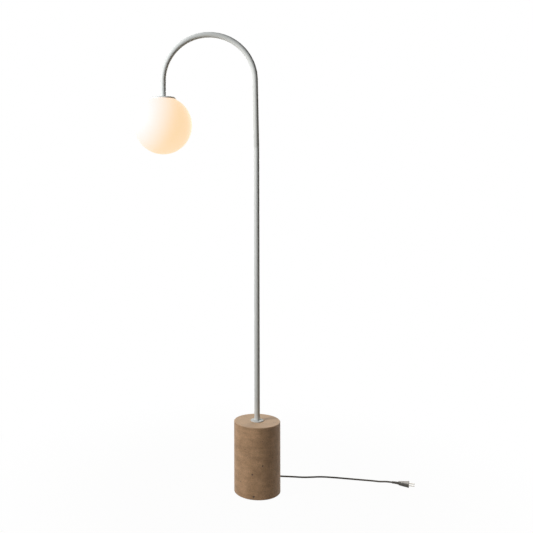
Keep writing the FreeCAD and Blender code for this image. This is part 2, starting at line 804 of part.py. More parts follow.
def make_bulb():
    ring_at = ("stem_x", "0")
    turned("bulb_contact", [
        ("0", "-contact_height"), ("contact_radius", "-contact_height"),
        ("contact_radius - contact_thick", "0"), ("0", "0"),
    ], *ring_at, "bulb_top")
    turned("bulb_insulator", [
        ("0", "-insulator_height"),
        ("screw_cap_radius", "-insulator_height"),
        ("contact_radius", "0"),
        ("0", "0"),
    ], *ring_at, "bulb_top - contact_height")
    ring("bulb_screw_cap", "screw_cap_radius", "screw_cap_radius - sleeve_wall", "screw_cap_length",
         "bulb_body_z", "stem_x")
    waist = "screw_cap_radius - sleeve_wall - thread_play"
    turned("bulb_body", [
        (waist + " - bulb_wall", "screw_cap_length - insulator_height"),
        (waist, "screw_cap_length - insulator_height"),
        (waist, "0"),
        ("screw_cap_radius + bulb_wall", "0"),
        ("bulb_radius - bulb_wall * 2", "-bulb_body_height * 0.7"),
        ("bulb_radius - bulb_wall", "-bulb_body_height"),
        ("bulb_radius - bulb_wall * 3", "-bulb_body_height"),
        ("bulb_radius - bulb_wall * 4", "-bulb_body_height * 0.7"),
        (waist + " - bulb_wall", "-bulb_wall"),
    ], *ring_at, "bulb_body_z")
    driver = doc.addObject("Part::Box", "driver_board")
    driver.setExpression("Length", bound("screw_cap_radius * 1.5"))
    driver.setExpression("Width", bound("board_thick"))
    driver.setExpression("Height", bound("bulb_body_height - board_thick + screw_cap_length / 2"))
    put(driver, "stem_x - screw_cap_radius * 0.75", "-board_thick / 2", "led_z + board_thick")
    turned("led_board", [
        ("0", "0"), ("bulb_radius - bulb_wall * 3.3", "0"),
        ("bulb_radius - bulb_wall * 3.3", "board_thick"), ("0", "board_thick"),
    ], *ring_at, "led_z")
    chips = []
    size = worth("chip_size")
    for index in range(CHIP_COUNT):
        chip = Part.makeBox(size, size, worth("chip_height"), Vector(worth("chip_ring") - size / 2, -size / 2, 0))
        chip.rotate(Vector(), Vector(0, 0, 1), 360 / CHIP_COUNT * index)
        chips.append(chip)
    lights = shaped("led_chips", Part.makeCompound(chips))
    lights.Placement = Placement(Vector(worth("stem_x"), 0, worth("led_z - chip_height")), Rotation())

    # The diffuser: a dome, straight above its middle and half round below it.
    dome = new_body("bulb_diffuser")
    sketch = sketch_on(dome, "diffuser_outline")
    radius = worth("bulb_radius")
    wall = worth("bulb_wall")
    brim = worth("bulb_radius - bulb_wall")
    up = worth("led_z - bulb_middle")
    round_edges = [
        Part.LineSegment(Vector(brim - wall, up, 0), Vector(brim, up, 0)),
        Part.LineSegment(Vector(brim, up, 0), Vector(radius, 0, 0)),
        Part.ArcOfCircle(Part.Circle(Vector(), Vector(0, 0, 1), radius), -math.pi / 2, 0),
        Part.LineSegment(Vector(0, -radius, 0), Vector(0, wall - radius, 0)),
        Part.ArcOfCircle(Part.Circle(Vector(), Vector(0, 0, 1), radius - wall), -math.pi / 2, 0),
        Part.LineSegment(Vector(radius - wall, 0, 0), Vector(brim - wall, up, 0)),
    ]
    for edge in round_edges:
        sketch.addGeometry(edge, False)
    for first, first_end, second, second_end in (
        (0, 2, 1, 1), (1, 2, 2, 2), (2, 1, 3, 1), (3, 2, 4, 1), (4, 2, 5, 1), (5, 2, 0, 1),
    ):
        sketch.addConstraint(Sketcher.Constraint("Coincident", first, first_end, second, second_end))
    for arc in (2, 4):
        sketch.addConstraint(Sketcher.Constraint("Coincident", arc, 3, -1, 1))
        sketch.addConstraint(Sketcher.Constraint("PointOnObject", arc, 1, -2))
        sketch.addConstraint(Sketcher.Constraint("PointOnObject", arc, 2, -1))
    for name, constraint, formula in (
        ("outer", Sketcher.Constraint("Radius", 2, radius), "bulb_radius"),
        ("inner", Sketcher.Constraint("Radius", 4, radius - wall), "bulb_radius - bulb_wall"),
        ("brim", Sketcher.Constraint("DistanceX", -1, 1, 0, 2, brim), "bulb_radius - bulb_wall"),
        ("brim_up", Sketcher.Constraint("DistanceY", -1, 1, 0, 2, up), "led_z - bulb_middle"),
        ("brim_wide", Sketcher.Constraint("Distance", 0, wall), "bulb_wall"),
    ):
        bind_last(sketch, sketch.addConstraint(constraint), name, formula)
    sketch.addConstraint(Sketcher.Constraint("Horizontal", 0))
    spin = dome.newObject("PartDesign::Revolution", "diffuser_turn")
    spin.Profile = sketch
    spin.ReferenceAxis = (sketch, ["V_Axis"])
    spin.Angle = 360
    dome.Tip = spin
    put(dome, "stem_x", "0", "bulb_middle")


# ---------------------------------------------------------------- foot switch

def switch_shell(label, height, z, floor_low):
    """Half of the switch's housing: an octagon in plan, hollow, with a half-round way for the cord at each end."""
    half = "switch_width / 2"
    long = "switch_length / 2"
    plan = [
        (half, "switch_corner - " + long), (half, long + " - switch_corner"),
        (half + " - switch_corner", long), ("switch_corner - " + half, long),
        ("-" + half, long + " - switch_corner"), ("-" + half, "switch_corner - " + long),
        ("switch_corner - " + half, "-" + long), (half + " - switch_corner", "-" + long),
    ]
    inside_half = "(switch_width / 2 - switch_wall)"
    inside_long = "(switch_length / 2 - switch_wall)"
    hollow_plan = [
        (inside_half, "switch_corner - " + inside_long), (inside_half, inside_long + " - switch_corner"),
        (inside_half + " - switch_corner", inside_long), ("switch_corner - " + inside_half, inside_long),
        ("-" + inside_half, inside_long + " - switch_corner"), ("-" + inside_half, "switch_corner - " + inside_long),
        ("switch_corner - " + inside_half, "-" + inside_long), (inside_half + " - switch_corner", "-" + inside_long),
    ]
    block = padded(label + "_block", plan, height, "0", "switch_place", z)
    hollow_z = z + " + switch_wall" if floor_low else z
    hollow = padded(label + "_hollow", hollow_plan, height + " - switch_wall", "0", "switch_place", hollow_z)
    way = rod(label + "_way", "sleeve_small - thread_play * 6", "switch_length * 1.2", "0",
              "switch_place - switch_length * 0.6", "switch_low", Rotation(Vector(1, 0, 0), -90))
    cuts = [hollow, way]
    if not floor_low:
        cuts.append(rod(label + "_button_hole", "button_bore", height + " * 1.5", "0", "switch_place", z))
    return cut_from(label, block, group(label + "_cuts", cuts))


def make_switch():
    switch_shell("switch_bottom", "switch_low", "0", True)
    switch_shell("switch_top", "switch_high", "switch_low", False)

    # The button: a cap with a lip below the housing's top and a post round which the spring sits.
    under = "switch_top - switch_wall - button_play / 3"
    turned("switch_button", [
        ("0", "-button_lip - button_travel / 2"),
        ("spring_radius - spring_wire * 3", "-button_lip - button_travel / 2"),
        ("spring_radius - spring_wire * 3", "-button_lip"),
        ("button_radius + button_lip", "-button_lip"),
        ("button_radius + button_lip", "0"),
        ("button_radius", "0"),
        ("button_radius", "switch_wall + button_stand - button_lip"),
        ("button_radius - button_lip", "switch_wall + button_stand"),
        ("0", "switch_wall + button_stand"),
    ], "0", "switch_place", under)

    # return spring between the housing's floor and the button's lip
    low = worth("switch_wall + spring_wire + thread_play")
    high = worth(under + " - button_lip - spring_wire - thread_play")
    turns = worth("spring_turns")
    coil_radius = worth("spring_radius")

    switch_y = worth("switch_place")

    def spring_place(turn):
        angle = 2 * math.pi * turn
        return Vector(coil_radius * math.cos(angle), switch_y + coil_radius * math.sin(angle),
                      low + (high - low) * turn / turns)

    print("switch spring: least gap %.2f mm" % least_gap(spring_place, turns, worth("spring_wire"), 24))
    shaped("switch_spring", tube_along(Part.Wire(wound_wire(spring_place, turns)), worth("spring_wire")))

    # contact strips along both sides of the floor, and the wires that lead to them
    strips = []
    for name, x in (("left", "-wire_out - wire_radius"), ("right", "wire_out - wire_radius")):
        strip = doc.addObject("Part::Box", "contact_" + name)
        strip.setExpression("Length", bound("wire_radius * 2"))
        strip.setExpression("Width", bound("switch_length / 3"))
        strip.setExpression("Height", bound("contact_thick"))
        put(strip, x, "switch_place - switch_length / 6", "switch_wall")
        strips.append(strip)
    group("switch_contacts", strips)
    along = Rotation(Vector(1, 0, 0), -90)
    wire_z = "switch_wall + contact_thick + wire_radius"
    group("switch_wires", [
        rod("through_wire", "wire_radius", "switch_length - switch_wall * 2 - sleeve_in * 2",
            "wire_out", "switch_near + switch_wall + sleeve_in", wire_z, along),
        rod("live_wire_near", "wire_radius", "switch_length / 3 - switch_wall - sleeve_in",
            "-wire_out", "switch_near + switch_wall + sleeve_in", wire_z, along),
        rod("live_wire_far", "wire_radius", "switch_length / 3 - switch_wall - sleeve_in",
            "-wire_out", "switch_place + switch_length / 6", wire_z, along),
    ])

    # the screws stand in the corners, from the bottom shell's floor to the top shell's roof
    group("switch_screws", [
        rod("switch_screw_near", "stop_screw", "switch_top - switch_wall * 2",
            "switch_width / 2 - switch_wall * 2.5", "switch_near + switch_corner * 1.3", "switch_wall"),
        rod("switch_screw_far", "stop_screw", "switch_top - switch_wall * 2",
            "switch_wall * 2.5 - switch_width / 2", "switch_far - switch_corner * 1.3", "switch_wall"),
    ])

    def sleeve_outline():
        neck = "sleeve_small - thread_play * 8"
        return [
            ("0", "-switch_wall - sleeve_in"),
            ("sleeve_big", "-switch_wall - sleeve_in"),
            ("sleeve_big", "-switch_wall - thread_play"),
            (neck, "-switch_wall - thread_play"),
            (neck, "thread_play"),
            ("sleeve_big", "thread_play"),
            ("sleeve_small", "sleeve_out"),
            ("0", "sleeve_out"),
        ]

    for label, y, turn in (("switch_sleeve_near", "switch_near", 90), ("switch_sleeve_far", "switch_far", -90)):
        sleeve = turned(label, sleeve_outline())
        sleeve.Placement = Placement(Vector(), Rotation(Vector(1, 0, 0), turn))
        put(sleeve, "0", y, "switch_low")


# ---------------------------------------------------------------- cords

def make_inner_cable():
    """The cable held inside: in through the bushing, up the pole, over the arc and down to the lampholder."""
    height = worth("exit_height")
    bend = worth("cable_bend")
    mouth = worth("bushing_end")
    ring_middle = Vector(worth("arc_middle_x"), 0, worth("arc_middle_z"))
    radius = worth("arc_radius")
    lean = math.radians(worth("upper_lean"))
    arc_top = ring_middle + Vector(math.cos(lean), 0, math.sin(lean)) * radius
    arc_crown = ring_middle + Vector(math.cos(math.pi / 2 + lean / 2), 0, math.sin(math.pi / 2 + lean / 2)) * radius
    arc_end = ring_middle - Vector(radius, 0, 0)
    joint = joint_path(worth("pole_radius * 2"), worth("upper_run"))
    quarter = bend * (1 - math.sqrt(0.5))
    edges = [
        Part.LineSegment(Vector(0, mouth, height), Vector(0, bend, height)).toShape(),
        Part.Arc(Vector(0, bend, height), Vector(0, quarter, height + quarter), Vector(0, 0, height + bend)).toShape(),
        Part.LineSegment(Vector(0, 0, height + bend), joint[0].firstVertex().Point).toShape(),
    ] + joint + [
        Part.Arc(arc_top, arc_crown, arc_end).toShape(),
        Part.LineSegment(arc_end, Vector(arc_end.x, 0, worth("head_top - nipple_down"))).toShape(),
    ]
    wire = Part.Wire(edges)
    print("inner cable: length %.0f mm" % wire.Length)
    shaped("inner_cable", tube_along(wire, cord_radius))


def coil_place(turn):
    """The put-away coil's middle line: in along the floor, up a layer at the inside, and out again on top."""
    outer = coil["outer"]
    step = coil["step"]
    inward = COIL_TURNS_IN
    inner = outer - step * inward
    z = cord_radius
    if turn <= inward:
        radius = outer - step * turn
    elif turn < inward + 0.5:
        share = (turn - inward) / 0.5
        radius = inner - step * 0.5 * (share - share ** 2)
        z += coil["layer"] * (3 * share ** 2 - 2 * share ** 3)
    else:
        radius = inner + step * (turn - inward - 0.5)
        z += coil["layer"]
    angle = math.pi - 2 * math.pi * turn
    return Vector(coil["x"] + radius * math.cos(angle), coil["y"] + radius * math.sin(angle), z)


def make_coil():
    turns = COIL_TURNS_IN * 2 + 0.5
    arcs = wound_wire(coil_place, turns)
    first = coil_place(0)
    last = coil_place(turns)
    straight = 2 * cord_radius
    begin = arcs[0].firstVertex().Point
    start_way = arcs[0].tangentAt(arcs[0].FirstParameter)
    end_way = arcs[-1].tangentAt(arcs[-1].LastParameter)
    edges = [Part.LineSegment(first - start_way * straight, begin).toShape()] + arcs
    edges.append(Part.LineSegment(last, last + end_way * straight).toShape())
    wire = Part.Wire(edges)
    shape = tube_along(wire, cord_radius)
    print("coil: %.1f turns, length %.0f mm, least gap to itself %.2f mm" % (
        turns, wire.Length, least_gap(coil_place, turns, cord_radius)))
    print("coil: volume %.0f, section times length %.0f mm3" % (
        shape.Volume, math.pi * cord_radius ** 2 * wire.Length))
    shaped("cord_coil", shape)
    # the tie goes over all the turns where they pass the coil's far side, a quarter turn after they start
    width = worth("tie_width")
    strap = worth("tie_strap")
    clear = worth("tie_clear")
    # the innermost turn bends towards the coil's middle at the tie's two edges
    inner_radius = coil_place(COIL_TURNS_IN + 0.25).y - coil["y"]
    near = coil["y"] + math.sqrt(inner_radius ** 2 - (width / 2) ** 2) - cord_radius - clear
    far = coil_place(0.25).y + cord_radius + clear
    high = 2 * cord_radius + coil["layer"] + clear
    corner = Vector(coil["x"] - width / 2, near, 0)
    inside = Part.makeBox(width, far - near, high, corner)
    outside = Part.makeBox(width, far - near + 2 * strap, high + strap, corner - Vector(0, strap, 0))
    shaped("cord_tie", outside.cut(inside))
    return first - start_way * straight, start_way, last + end_way * straight, end_way, wire.Length


def make_plug(at, toward):
    """Two-pin plug at the cord's end, lying flat; it is drawn along +X and turned into the cord's line."""
    heading = math.degrees(math.atan2(toward.y, toward.x))
    lie = Rotation(Vector(0, 0, 1), heading)
    sleeve = turned("plug_sleeve", [
        ("0", "0"), ("sleeve_small", "0"), ("plug_sleeve_radius", "plug_sleeve_length"), ("0", "plug_sleeve_length"),
    ])
    sleeve.Placement = Placement(Vector(), lie.multiply(Rotation(Vector(0, 1, 0), 90)))
    put(sleeve, at.x, at.y, at.z)
    body = padded("plug_body", [
        ("plug_sleeve_length", "-plug_back"),
        ("plug_sleeve_length + plug_length * 0.6", "-plug_half_width * 0.75"),
        ("plug_sleeve_length + plug_length", "-plug_half_width"),
        ("plug_sleeve_length + plug_length", "plug_half_width"),
        ("plug_sleeve_length + plug_length * 0.6", "plug_half_width * 0.75"),
        ("plug_sleeve_length", "plug_back"),
    ], "plug_half_thick * 2")
    rounded(body, "plug_edges", "plug_edge", lambda edge: edge.BoundBox.ZLength < 1e-6, "PartDesign::Chamfer")
    body.Placement = Placement(Vector(), lie)
    put(body, at.x, at.y, at.z - worth("plug_half_thick"))
    pins = []
    for side in (-1, 1):
        start = Vector(worth("plug_sleeve_length + plug_length"), side * worth("pin_spacing") / 2, 0)
        pins.append(Part.makeCylinder(worth("pin_radius"), worth("pin_length"), start, Vector(1, 0, 0)))
    pair = shaped("plug_pins", Part.makeCompound(pins))
    pair.Placement = Placement(at, lie)


cord_radius = worth("cord_radius")
coil = {
    "outer": worth("coil_outer"),
    "step": worth("coil_step"),
    "layer": worth("coil_layer"),
    "x": worth("coil_x"),
    "y": worth("coil_depth"),
}
CLIP_COUNT = 3
CHIP_COUNT = 8
COIL_TURNS_IN = 3

make_foot()
make_cord_exit()
make_pole()
make_head()
make_lampholder()
make_bulb()
make_switch()
make_inner_cable()
coil_in, way_in, coil_out, way_out, coil_length = make_coil()

# The free stretches, each a list of chosen points. The first runs from the bushing to the switch.
lead_length = cord_tube("cord_to_switch", [
    (0, worth("bushing_end"), worth("exit_height")),
    (0, worth("bushing_end") + 9, worth("exit_height")),
    (0, worth("switch_near - sleeve_out") - 8, worth("switch_low")),
    (0, worth("switch_near - sleeve_out"), worth("switch_low")),
])
middle_length = cord_tube("cord_to_coil", [
    (0, worth("switch_far + sleeve_out"), worth("switch_low")),
    (0, worth("switch_far + sleeve_out") + 12, worth("switch_low")),
    tuple(coil_in - way_in * 14),
    tuple(coil_in),
])
FLOOR = cord_radius
VISIBLE_CORD = [
    tuple(coil_out),
    tuple(coil_out + way_out * 18),
    (85.5, 207, FLOOR),
    (77.5, 187, FLOOR),
    (68.6, 153, FLOOR),
    (74.3, 135.2, FLOOR),
    (88.7, 123.2, FLOOR),
    (109, 120.7, FLOOR),
    (140, 117.2, FLOOR),
    (176, 111.2, FLOOR),
    (210, 113.6, FLOOR),
    (241, 116.6, FLOOR),
    (275, 111.8, FLOOR),
    (315, 103.2, FLOOR),
    (356, 93.6, FLOOR),
    (397, 84.4, FLOOR),
    (426, 77.8, FLOOR),
    (446, 71.2, FLOOR),
    (466, 63.8, worth("plug_half_thick")),
    (484, 57.3, worth("plug_half_thick")),
]
end_length = cord_tube("cord_to_plug", VISIBLE_CORD)
last_point = Vector(*VISIBLE_CORD[-1])
make_plug(last_point, last_point - Vector(*VISIBLE_CORD[-2]))
print("free cord, lead to plug: %.0f mm" % (
    lead_length + middle_length + coil_length + end_length
    + worth("switch_length + sleeve_out * 2")))

# ---------------------------------------------------------------- check and write

NODES = [
    "base_pad", "stone_base", "base_collar", "tie_tube", "clamp_plate", "star_washer", "tie_nut", "foot_bush",
    "exit_bushing", "cord_stop_lower", "cord_stop_upper", "cord_stop_screws",
    "lower_pole", "pole_coupler", "set_screws", "upper_arc", "stem_bush",
    "globe_cap", "gasket", "clip_plate", "head_nipple", "holder_washer", "holder_nut", "glass_globe",
    "globe_shoulder", "globe_clips", "clip_rivets",
    "lampholder_cap", "lampholder_skirt", "lampholder_core", "lampholder_sleeve", "terminals", "centre_contact",
    "supply_wires",
    "bulb_contact", "bulb_insulator", "bulb_screw_cap", "bulb_body", "driver_board", "led_board", "led_chips",
    "bulb_diffuser",
    "switch_bottom", "switch_top", "switch_button", "switch_spring", "switch_contacts", "switch_wires",
    "switch_screws", "switch_sleeve_near", "switch_sleeve_far",
    "inner_cable", "cord_to_switch", "cord_to_coil", "cord_coil", "cord_tie", "cord_to_plug",
    "plug_sleeve", "plug_body", "plug_pins",
]

doc.recompute()
for thing in doc.Objects:
    if "Invalid" in thing.State or "Error" in thing.State:
        raise RuntimeError("%s could not be made: %s" % (thing.Label, thing.State))
for node in NODES:
    shape = doc.getObjectsByLabel(node)[0].Shape
    if shape.isNull() or not shape.isValid():
        raise RuntimeError("%s has no sound shape" % node)
    if not shape.Solids:
        raise RuntimeError("%s holds no solid" % node)
    shape.exportStep("parts/%s.step" % node)
print("%d pieces written" % len(NODES))
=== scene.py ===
import bmesh
import bpy
import math
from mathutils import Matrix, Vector


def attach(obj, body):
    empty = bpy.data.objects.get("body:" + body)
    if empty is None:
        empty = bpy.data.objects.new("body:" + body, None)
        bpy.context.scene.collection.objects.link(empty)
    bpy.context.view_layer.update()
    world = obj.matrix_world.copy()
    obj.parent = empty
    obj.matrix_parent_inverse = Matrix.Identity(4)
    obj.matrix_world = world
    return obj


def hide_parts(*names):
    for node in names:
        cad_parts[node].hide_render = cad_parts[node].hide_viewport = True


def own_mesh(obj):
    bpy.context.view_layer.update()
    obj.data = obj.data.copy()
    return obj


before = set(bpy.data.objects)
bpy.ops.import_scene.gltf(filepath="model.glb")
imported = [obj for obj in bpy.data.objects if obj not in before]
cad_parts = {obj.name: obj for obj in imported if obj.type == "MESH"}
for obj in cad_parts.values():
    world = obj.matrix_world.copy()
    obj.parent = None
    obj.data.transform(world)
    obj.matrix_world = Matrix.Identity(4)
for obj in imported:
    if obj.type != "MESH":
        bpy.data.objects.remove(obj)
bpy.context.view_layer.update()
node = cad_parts


# ---- Felt pad under the foot
# A round of pressed wool felt, 2 mm thick, glued to the stone's underside over its
# hollow. It is cut a little smaller than the stone, so only a dark line shows.

def rgb(code):
    """A colour written as #RRGGBB, as the linear colour that a shader takes."""
    parts = [int(code[place:place + 2], 16) / 255 for place in (1, 3, 5)]
    linear = [part / 12.92 if part <= 0.04045 else ((part + 0.055) / 1.055) ** 2.4 for part in parts]
    return (*linear, 1)


def add(finish, kind, feeds=None, **settings):
    """Adds a shader node with its settings, and feeds its sockets with values or with other sockets."""
    made = finish.node_tree.nodes.new("ShaderNode" + kind)
    for name, value in settings.items():
        setattr(made, name, value)
    for name, value in (feeds or {}).items():
        if isinstance(value, bpy.types.NodeSocket):
            finish.node_tree.links.new(value, made.inputs[name])
        else:
            made.inputs[name].default_value = value
    return made


def start_finish(name, **settings):
    """A new material, its main shader set where the surface is even, and its place on the piece."""
    finish = bpy.data.materials.new(name)
    finish.use_nodes = True
    main = finish.node_tree.nodes["Principled BSDF"]
    for socket, value in settings.items():
        main.inputs[socket.replace("_", " ")].default_value = value
    place = add(finish, "TexCoord").outputs["Object"]
    return finish, main, place


def feed(finish, main, **sockets):
    """Leads patterns into the main shader."""
    for socket, value in sockets.items():
        finish.node_tree.links.new(value, main.inputs[socket.replace("_", " ")])


def eased(corners, parts=5):
    """An outline of (radius, height) corners in millimetres; a third number rounds its corner."""
    points = []
    for index, corner in enumerate(corners):
        here = Vector(corner[:2])
        if len(corner) == 2:
            points.append(here)
            continue
        before = (Vector(corners[index - 1][:2]) - here).normalized()
        after = (Vector(corners[(index + 1) % len(corners)][:2]) - here).normalized()
        half = before.angle(after) / 2
        middle = here + (before + after).normalized() * (corner[2] / math.sin(half))
        start = here + before * (corner[2] / math.tan(half)) - middle
        sweep = start.angle_signed(here + after * (corner[2] / math.tan(half)) - middle)
        first = math.atan2(start.y, start.x)
        for part in range(parts + 1):
            angle = first - sweep * part / parts
            points.append(middle + corner[2] * Vector((math.cos(angle), math.sin(angle))))
    return points


def circle(middle, radius, axis=(0, 0, 1), steps=96):
    """Points round a circle, in millimetres."""
    axis = Vector(axis).normalized()
    side = axis.cross((0, 1, 0) if abs(axis.y) < 0.9 else (1, 0, 0)).normalized()
    up = axis.cross(side)
    angles = [math.tau * step / steps for step in range(steps)]
    return [Vector(middle) + radius * (side * math.cos(angle) + up * math.sin(angle)) for angle in angles]


def skin(name, rings, finish, closed=True, crease=35):
    """A mesh piece through rings of points in millimetres, each ring joined to the next one."""
    shape = bmesh.new()
    rows = [[shape.verts.new(Vector(point) / 1000) for point in ring] for ring in rings]
    for low, high in zip(rows, rows[1:] + rows[:1] if closed else rows[1:]):
        for this in range(len(low)):
            that = (this + 1) % len(low)
            shape.faces.new((low[this], low[that], high[that], high[this]))
    # a ring of no radius closes to one point
    bmesh.ops.remove_doubles(shape, verts=shape.verts, dist=1e-7)
    bmesh.ops.recalc_face_normals(shape, faces=shape.faces)
    mesh = bpy.data.meshes.new(name)
    shape.to_mesh(mesh)
    shape.free()
    mesh.materials.append(finish)
    mesh.shade_smooth()
    mesh.set_sharp_from_angle(angle=math.radians(crease))
    piece = bpy.data.objects.new(name, mesh)
    bpy.context.scene.collection.objects.link(piece)
    return piece


def spun(name, corners, finish, middle=(0, 0, 0), axis=(0, 0, 1), steps=96):
    """A round piece: an outline turned about an axis."""
    axis = Vector(axis).normalized()
    rings = [circle(Vector(middle) + axis * height, radius, axis, steps) for radius, height in eased(corners)]
    return skin(name, rings, finish)


# Pressed wool felt: no shine, and a loose tangle of fibres.
FIBRE_MM = 0.5  # real fibres are 0.03 mm, drawn as tufts that show
felt, main, place = start_finish("pressed_wool_felt", Roughness=1.0, Sheen_Weight=0.4, Sheen_Roughness=0.6)
main.inputs["Specular IOR Level"].default_value = 0.1
tangle = add(felt, "TexNoise", {"Vector": place, "Scale": 1000 / FIBRE_MM, "Detail": 6.0, "Distortion": 1.5})
tone = add(felt, "MixRGB", {"Fac": tangle.outputs["Fac"], "Color1": rgb("#3C3833"), "Color2": rgb("#5A544D")})
nap = add(felt, "Bump", {"Height": tangle.outputs["Fac"], "Strength": 0.6, "Distance": 0.0003})
feed(felt, main, Base_Color=tone.outputs["Color"], Normal=nap.outputs["Normal"])

PAD_RADIUS = 74
PAD_THICK = 2
felt_pad = spun("felt_pad", [(0, 0), (PAD_RADIUS, 0, 0.4), (PAD_RADIUS, PAD_THICK), (0, PAD_THICK)], felt)
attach(felt_pad, "stand")
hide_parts("base_pad")


# ---- Stone foot
# A solid drum of brown travertine, 160 mm across, turned and honed to a dull surface
# with its pores left open. Its edges are broken by a narrow chamfer.

# Honed travertine: dull, sandy and cloudy, with fine grains and a few open pits.
CLOUD_MM = 38
BED_MM = 60
BED_FLATTENED = 5
GRAIN_MM = 3.4
PORE_MM = 9
PORE_FIELD_MM = 30
stone, main, place = start_finish("honed_travertine", Roughness=0.55, IOR=1.5)
cloud = add(stone, "TexNoise", {"Vector": place, "Scale": 1000 / CLOUD_MM, "Detail": 5.0, "Roughness": 0.6})
cloud_tone = add(stone, "ValToRGB", {"Fac": cloud.outputs["Fac"]})
cloud_tone.color_ramp.elements[0].position = 0.34
cloud_tone.color_ramp.elements[0].color = rgb("#BF9872")
cloud_tone.color_ramp.elements[1].position = 0.68
cloud_tone.color_ramp.elements[1].color = rgb("#E0B58D")
# beds of the stone, lying level, about a centimetre thick
flat_place = add(stone, "Mapping", {"Vector": place, "Scale": (1, 1, BED_FLATTENED)})
beds = add(stone, "TexNoise", {"Vector": flat_place.outputs["Vector"], "Scale": 1000 / BED_MM, "Detail": 6.0})
bed_light = add(stone, "MapRange", {"Value": beds.outputs["Fac"], "From Min": 0.3, "From Max": 0.7,
                                    "To Min": 0.73, "To Max": 0.91})
bedded = add(stone, "MixRGB", {"Fac": 1.0, "Color1": cloud_tone.outputs["Color"],
                               "Color2": bed_light.outputs["Result"]}, blend_type="MULTIPLY")
# sandy mottling of light and dark grains, about three millimetres across
grain = add(stone, "TexNoise", {"Vector": place, "Scale": 1000 / GRAIN_MM, "Detail": 3.0, "Roughness": 0.7})
grain_light = add(stone, "MapRange", {"Value": grain.outputs["Fac"], "From Min": 0.3, "From Max": 0.7,
                                      "To Min": 0.77, "To Max": 1.21})
grained = add(stone, "MixRGB", {"Fac": 1.0, "Color1": bedded.outputs["Color"],
                                "Color2": grain_light.outputs["Result"]}, blend_type="MULTIPLY")
# small open pores, scattered where a coarse noise lets them gather
pores = add(stone, "TexVoronoi", {"Vector": flat_place.outputs["Vector"], "Scale": 1000 / PORE_MM})
pore_rim = add(stone, "MapRange", {"Value": pores.outputs["Distance"], "From Min": 0.07, "From Max": 0.16})
gather = add(stone, "TexNoise", {"Vector": place, "Scale": 1000 / PORE_FIELD_MM, "Detail": 2.0})
sparse = add(stone, "MapRange", {"Value": gather.outputs["Fac"], "From Min": 0.56, "From Max": 0.62})
pore_open = add(stone, "Math", {0: 1.0, 1: pore_rim.outputs["Result"]}, operation="SUBTRACT")
pore = add(stone, "Math", {0: sparse.outputs["Result"], 1: pore_open.outputs["Value"]}, operation="MULTIPLY")
# the few larger pits: place on the drum and size, in millimetres
PITS = [((12.5, -79, 117), 3.4), ((-22.5, -76.8, 87), 3.2), ((-18, -77.9, 13), 4.2), ((61, -20.6, 245), 2.2),
        ((-46, -65.5, 168), 1.6), ((12, -79.1, 200), 1.4), ((48, -64, 140), 1.8), ((-60, -52.9, 56), 2.0),
        ((70, 38.7, 70), 2.6), ((30, 74.2, 170), 2.4), ((-44, 66.8, 60), 2.8), ((-76, 25, 190), 2.0),
        ((55, -20, 245), 2.0), ((-34, 40, 245), 1.8)]
pitting = pore.outputs["Value"]
for spot, size in PITS:
    away = add(stone, "VectorMath", {0: place, 1: Vector(spot) / 1000}, operation="DISTANCE")
    ragged = add(stone, "Math", {0: grain.outputs["Fac"], 1: size / 1000, 2: away.outputs["Value"]},
                 operation="MULTIPLY_ADD")
    near = add(stone, "MapRange", {"Value": ragged.outputs["Value"], "From Min": size / 1000,
                                   "From Max": size / 1000 * 1.5, "To Min": 1.0, "To Max": 0.0})
    deeper = add(stone, "Math", {0: pitting, 1: near.outputs["Result"]}, operation="MAXIMUM")
    pitting = deeper.outputs["Value"]
# the pores and pits are painted dark brown: painted shade in their depth, as a bump alone sinks them
pitted = add(stone, "MixRGB", {"Fac": pitting, "Color1": grained.outputs["Color"], "Color2": rgb("#5B4938")})
# the sawn top is painted paler and less saturated than the turned side: painted light from above and a
# painted sheen
facing = add(stone, "NewGeometry")
up = add(stone, "SeparateXYZ", {"Vector": facing.outputs["Normal"]})
painted_top_light = add(stone, "MapRange", {"Value": up.outputs["Z"], "From Min": 0.4, "From Max": 0.9, "To Max": 0.35})
stone_tone = add(stone, "MixRGB", {"Fac": painted_top_light.outputs["Result"], "Color1": pitted.outputs["Color"],
                                   "Color2": rgb("#FADCB8")})
rough = add(stone, "Bump", {"Height": grain.outputs["Fac"], "Strength": 0.5, "Distance": 0.0004})
sunk = add(stone, "Bump", {"Height": pitting, "Strength": 1.0, "Distance": 0.0015,
                           "Normal": rough.outputs["Normal"]}, invert=True)
feed(stone, main, Base_Color=stone_tone.outputs["Color"], Normal=sunk.outputs["Normal"])
node["stone_base"].material_slots[0].material = stone


# ---- Fastening inside the foot
# A threaded steel tube runs up from a clamp plate, star washer and nut in the stone's
# hollow and pulls the pole down on to it. All are zinc-plated and hidden by the felt.

# Zinc plate: bright grey metal with a faint grain from plating.
PLATING_MM = 1.5
zinc, main, place = start_finish("zinc_plated_steel", Metallic=1.0, Roughness=0.34)
plating = add(zinc, "TexNoise", {"Vector": place, "Scale": 1000 / PLATING_MM, "Detail": 4.0})
tone = add(zinc, "MixRGB", {"Fac": plating.outputs["Fac"], "Color1": rgb("#A9ACAF"),
                            "Color2": rgb("#C9CCD0")})
zinc_grain = add(zinc, "Bump", {"Height": plating.outputs["Fac"], "Strength": 0.15, "Distance": 0.0001})
feed(zinc, main, Base_Color=tone.outputs["Color"], Normal=zinc_grain.outputs["Normal"])
for name in ("tie_tube", "clamp_plate", "star_washer", "tie_nut", "foot_bush", "cord_stop_screws",
             "pole_coupler", "stem_bush", "head_nipple", "holder_washer", "holder_nut", "clip_rivets",
             "clip_plate", "switch_screws"):
    node[name].material_slots[0].material = zinc

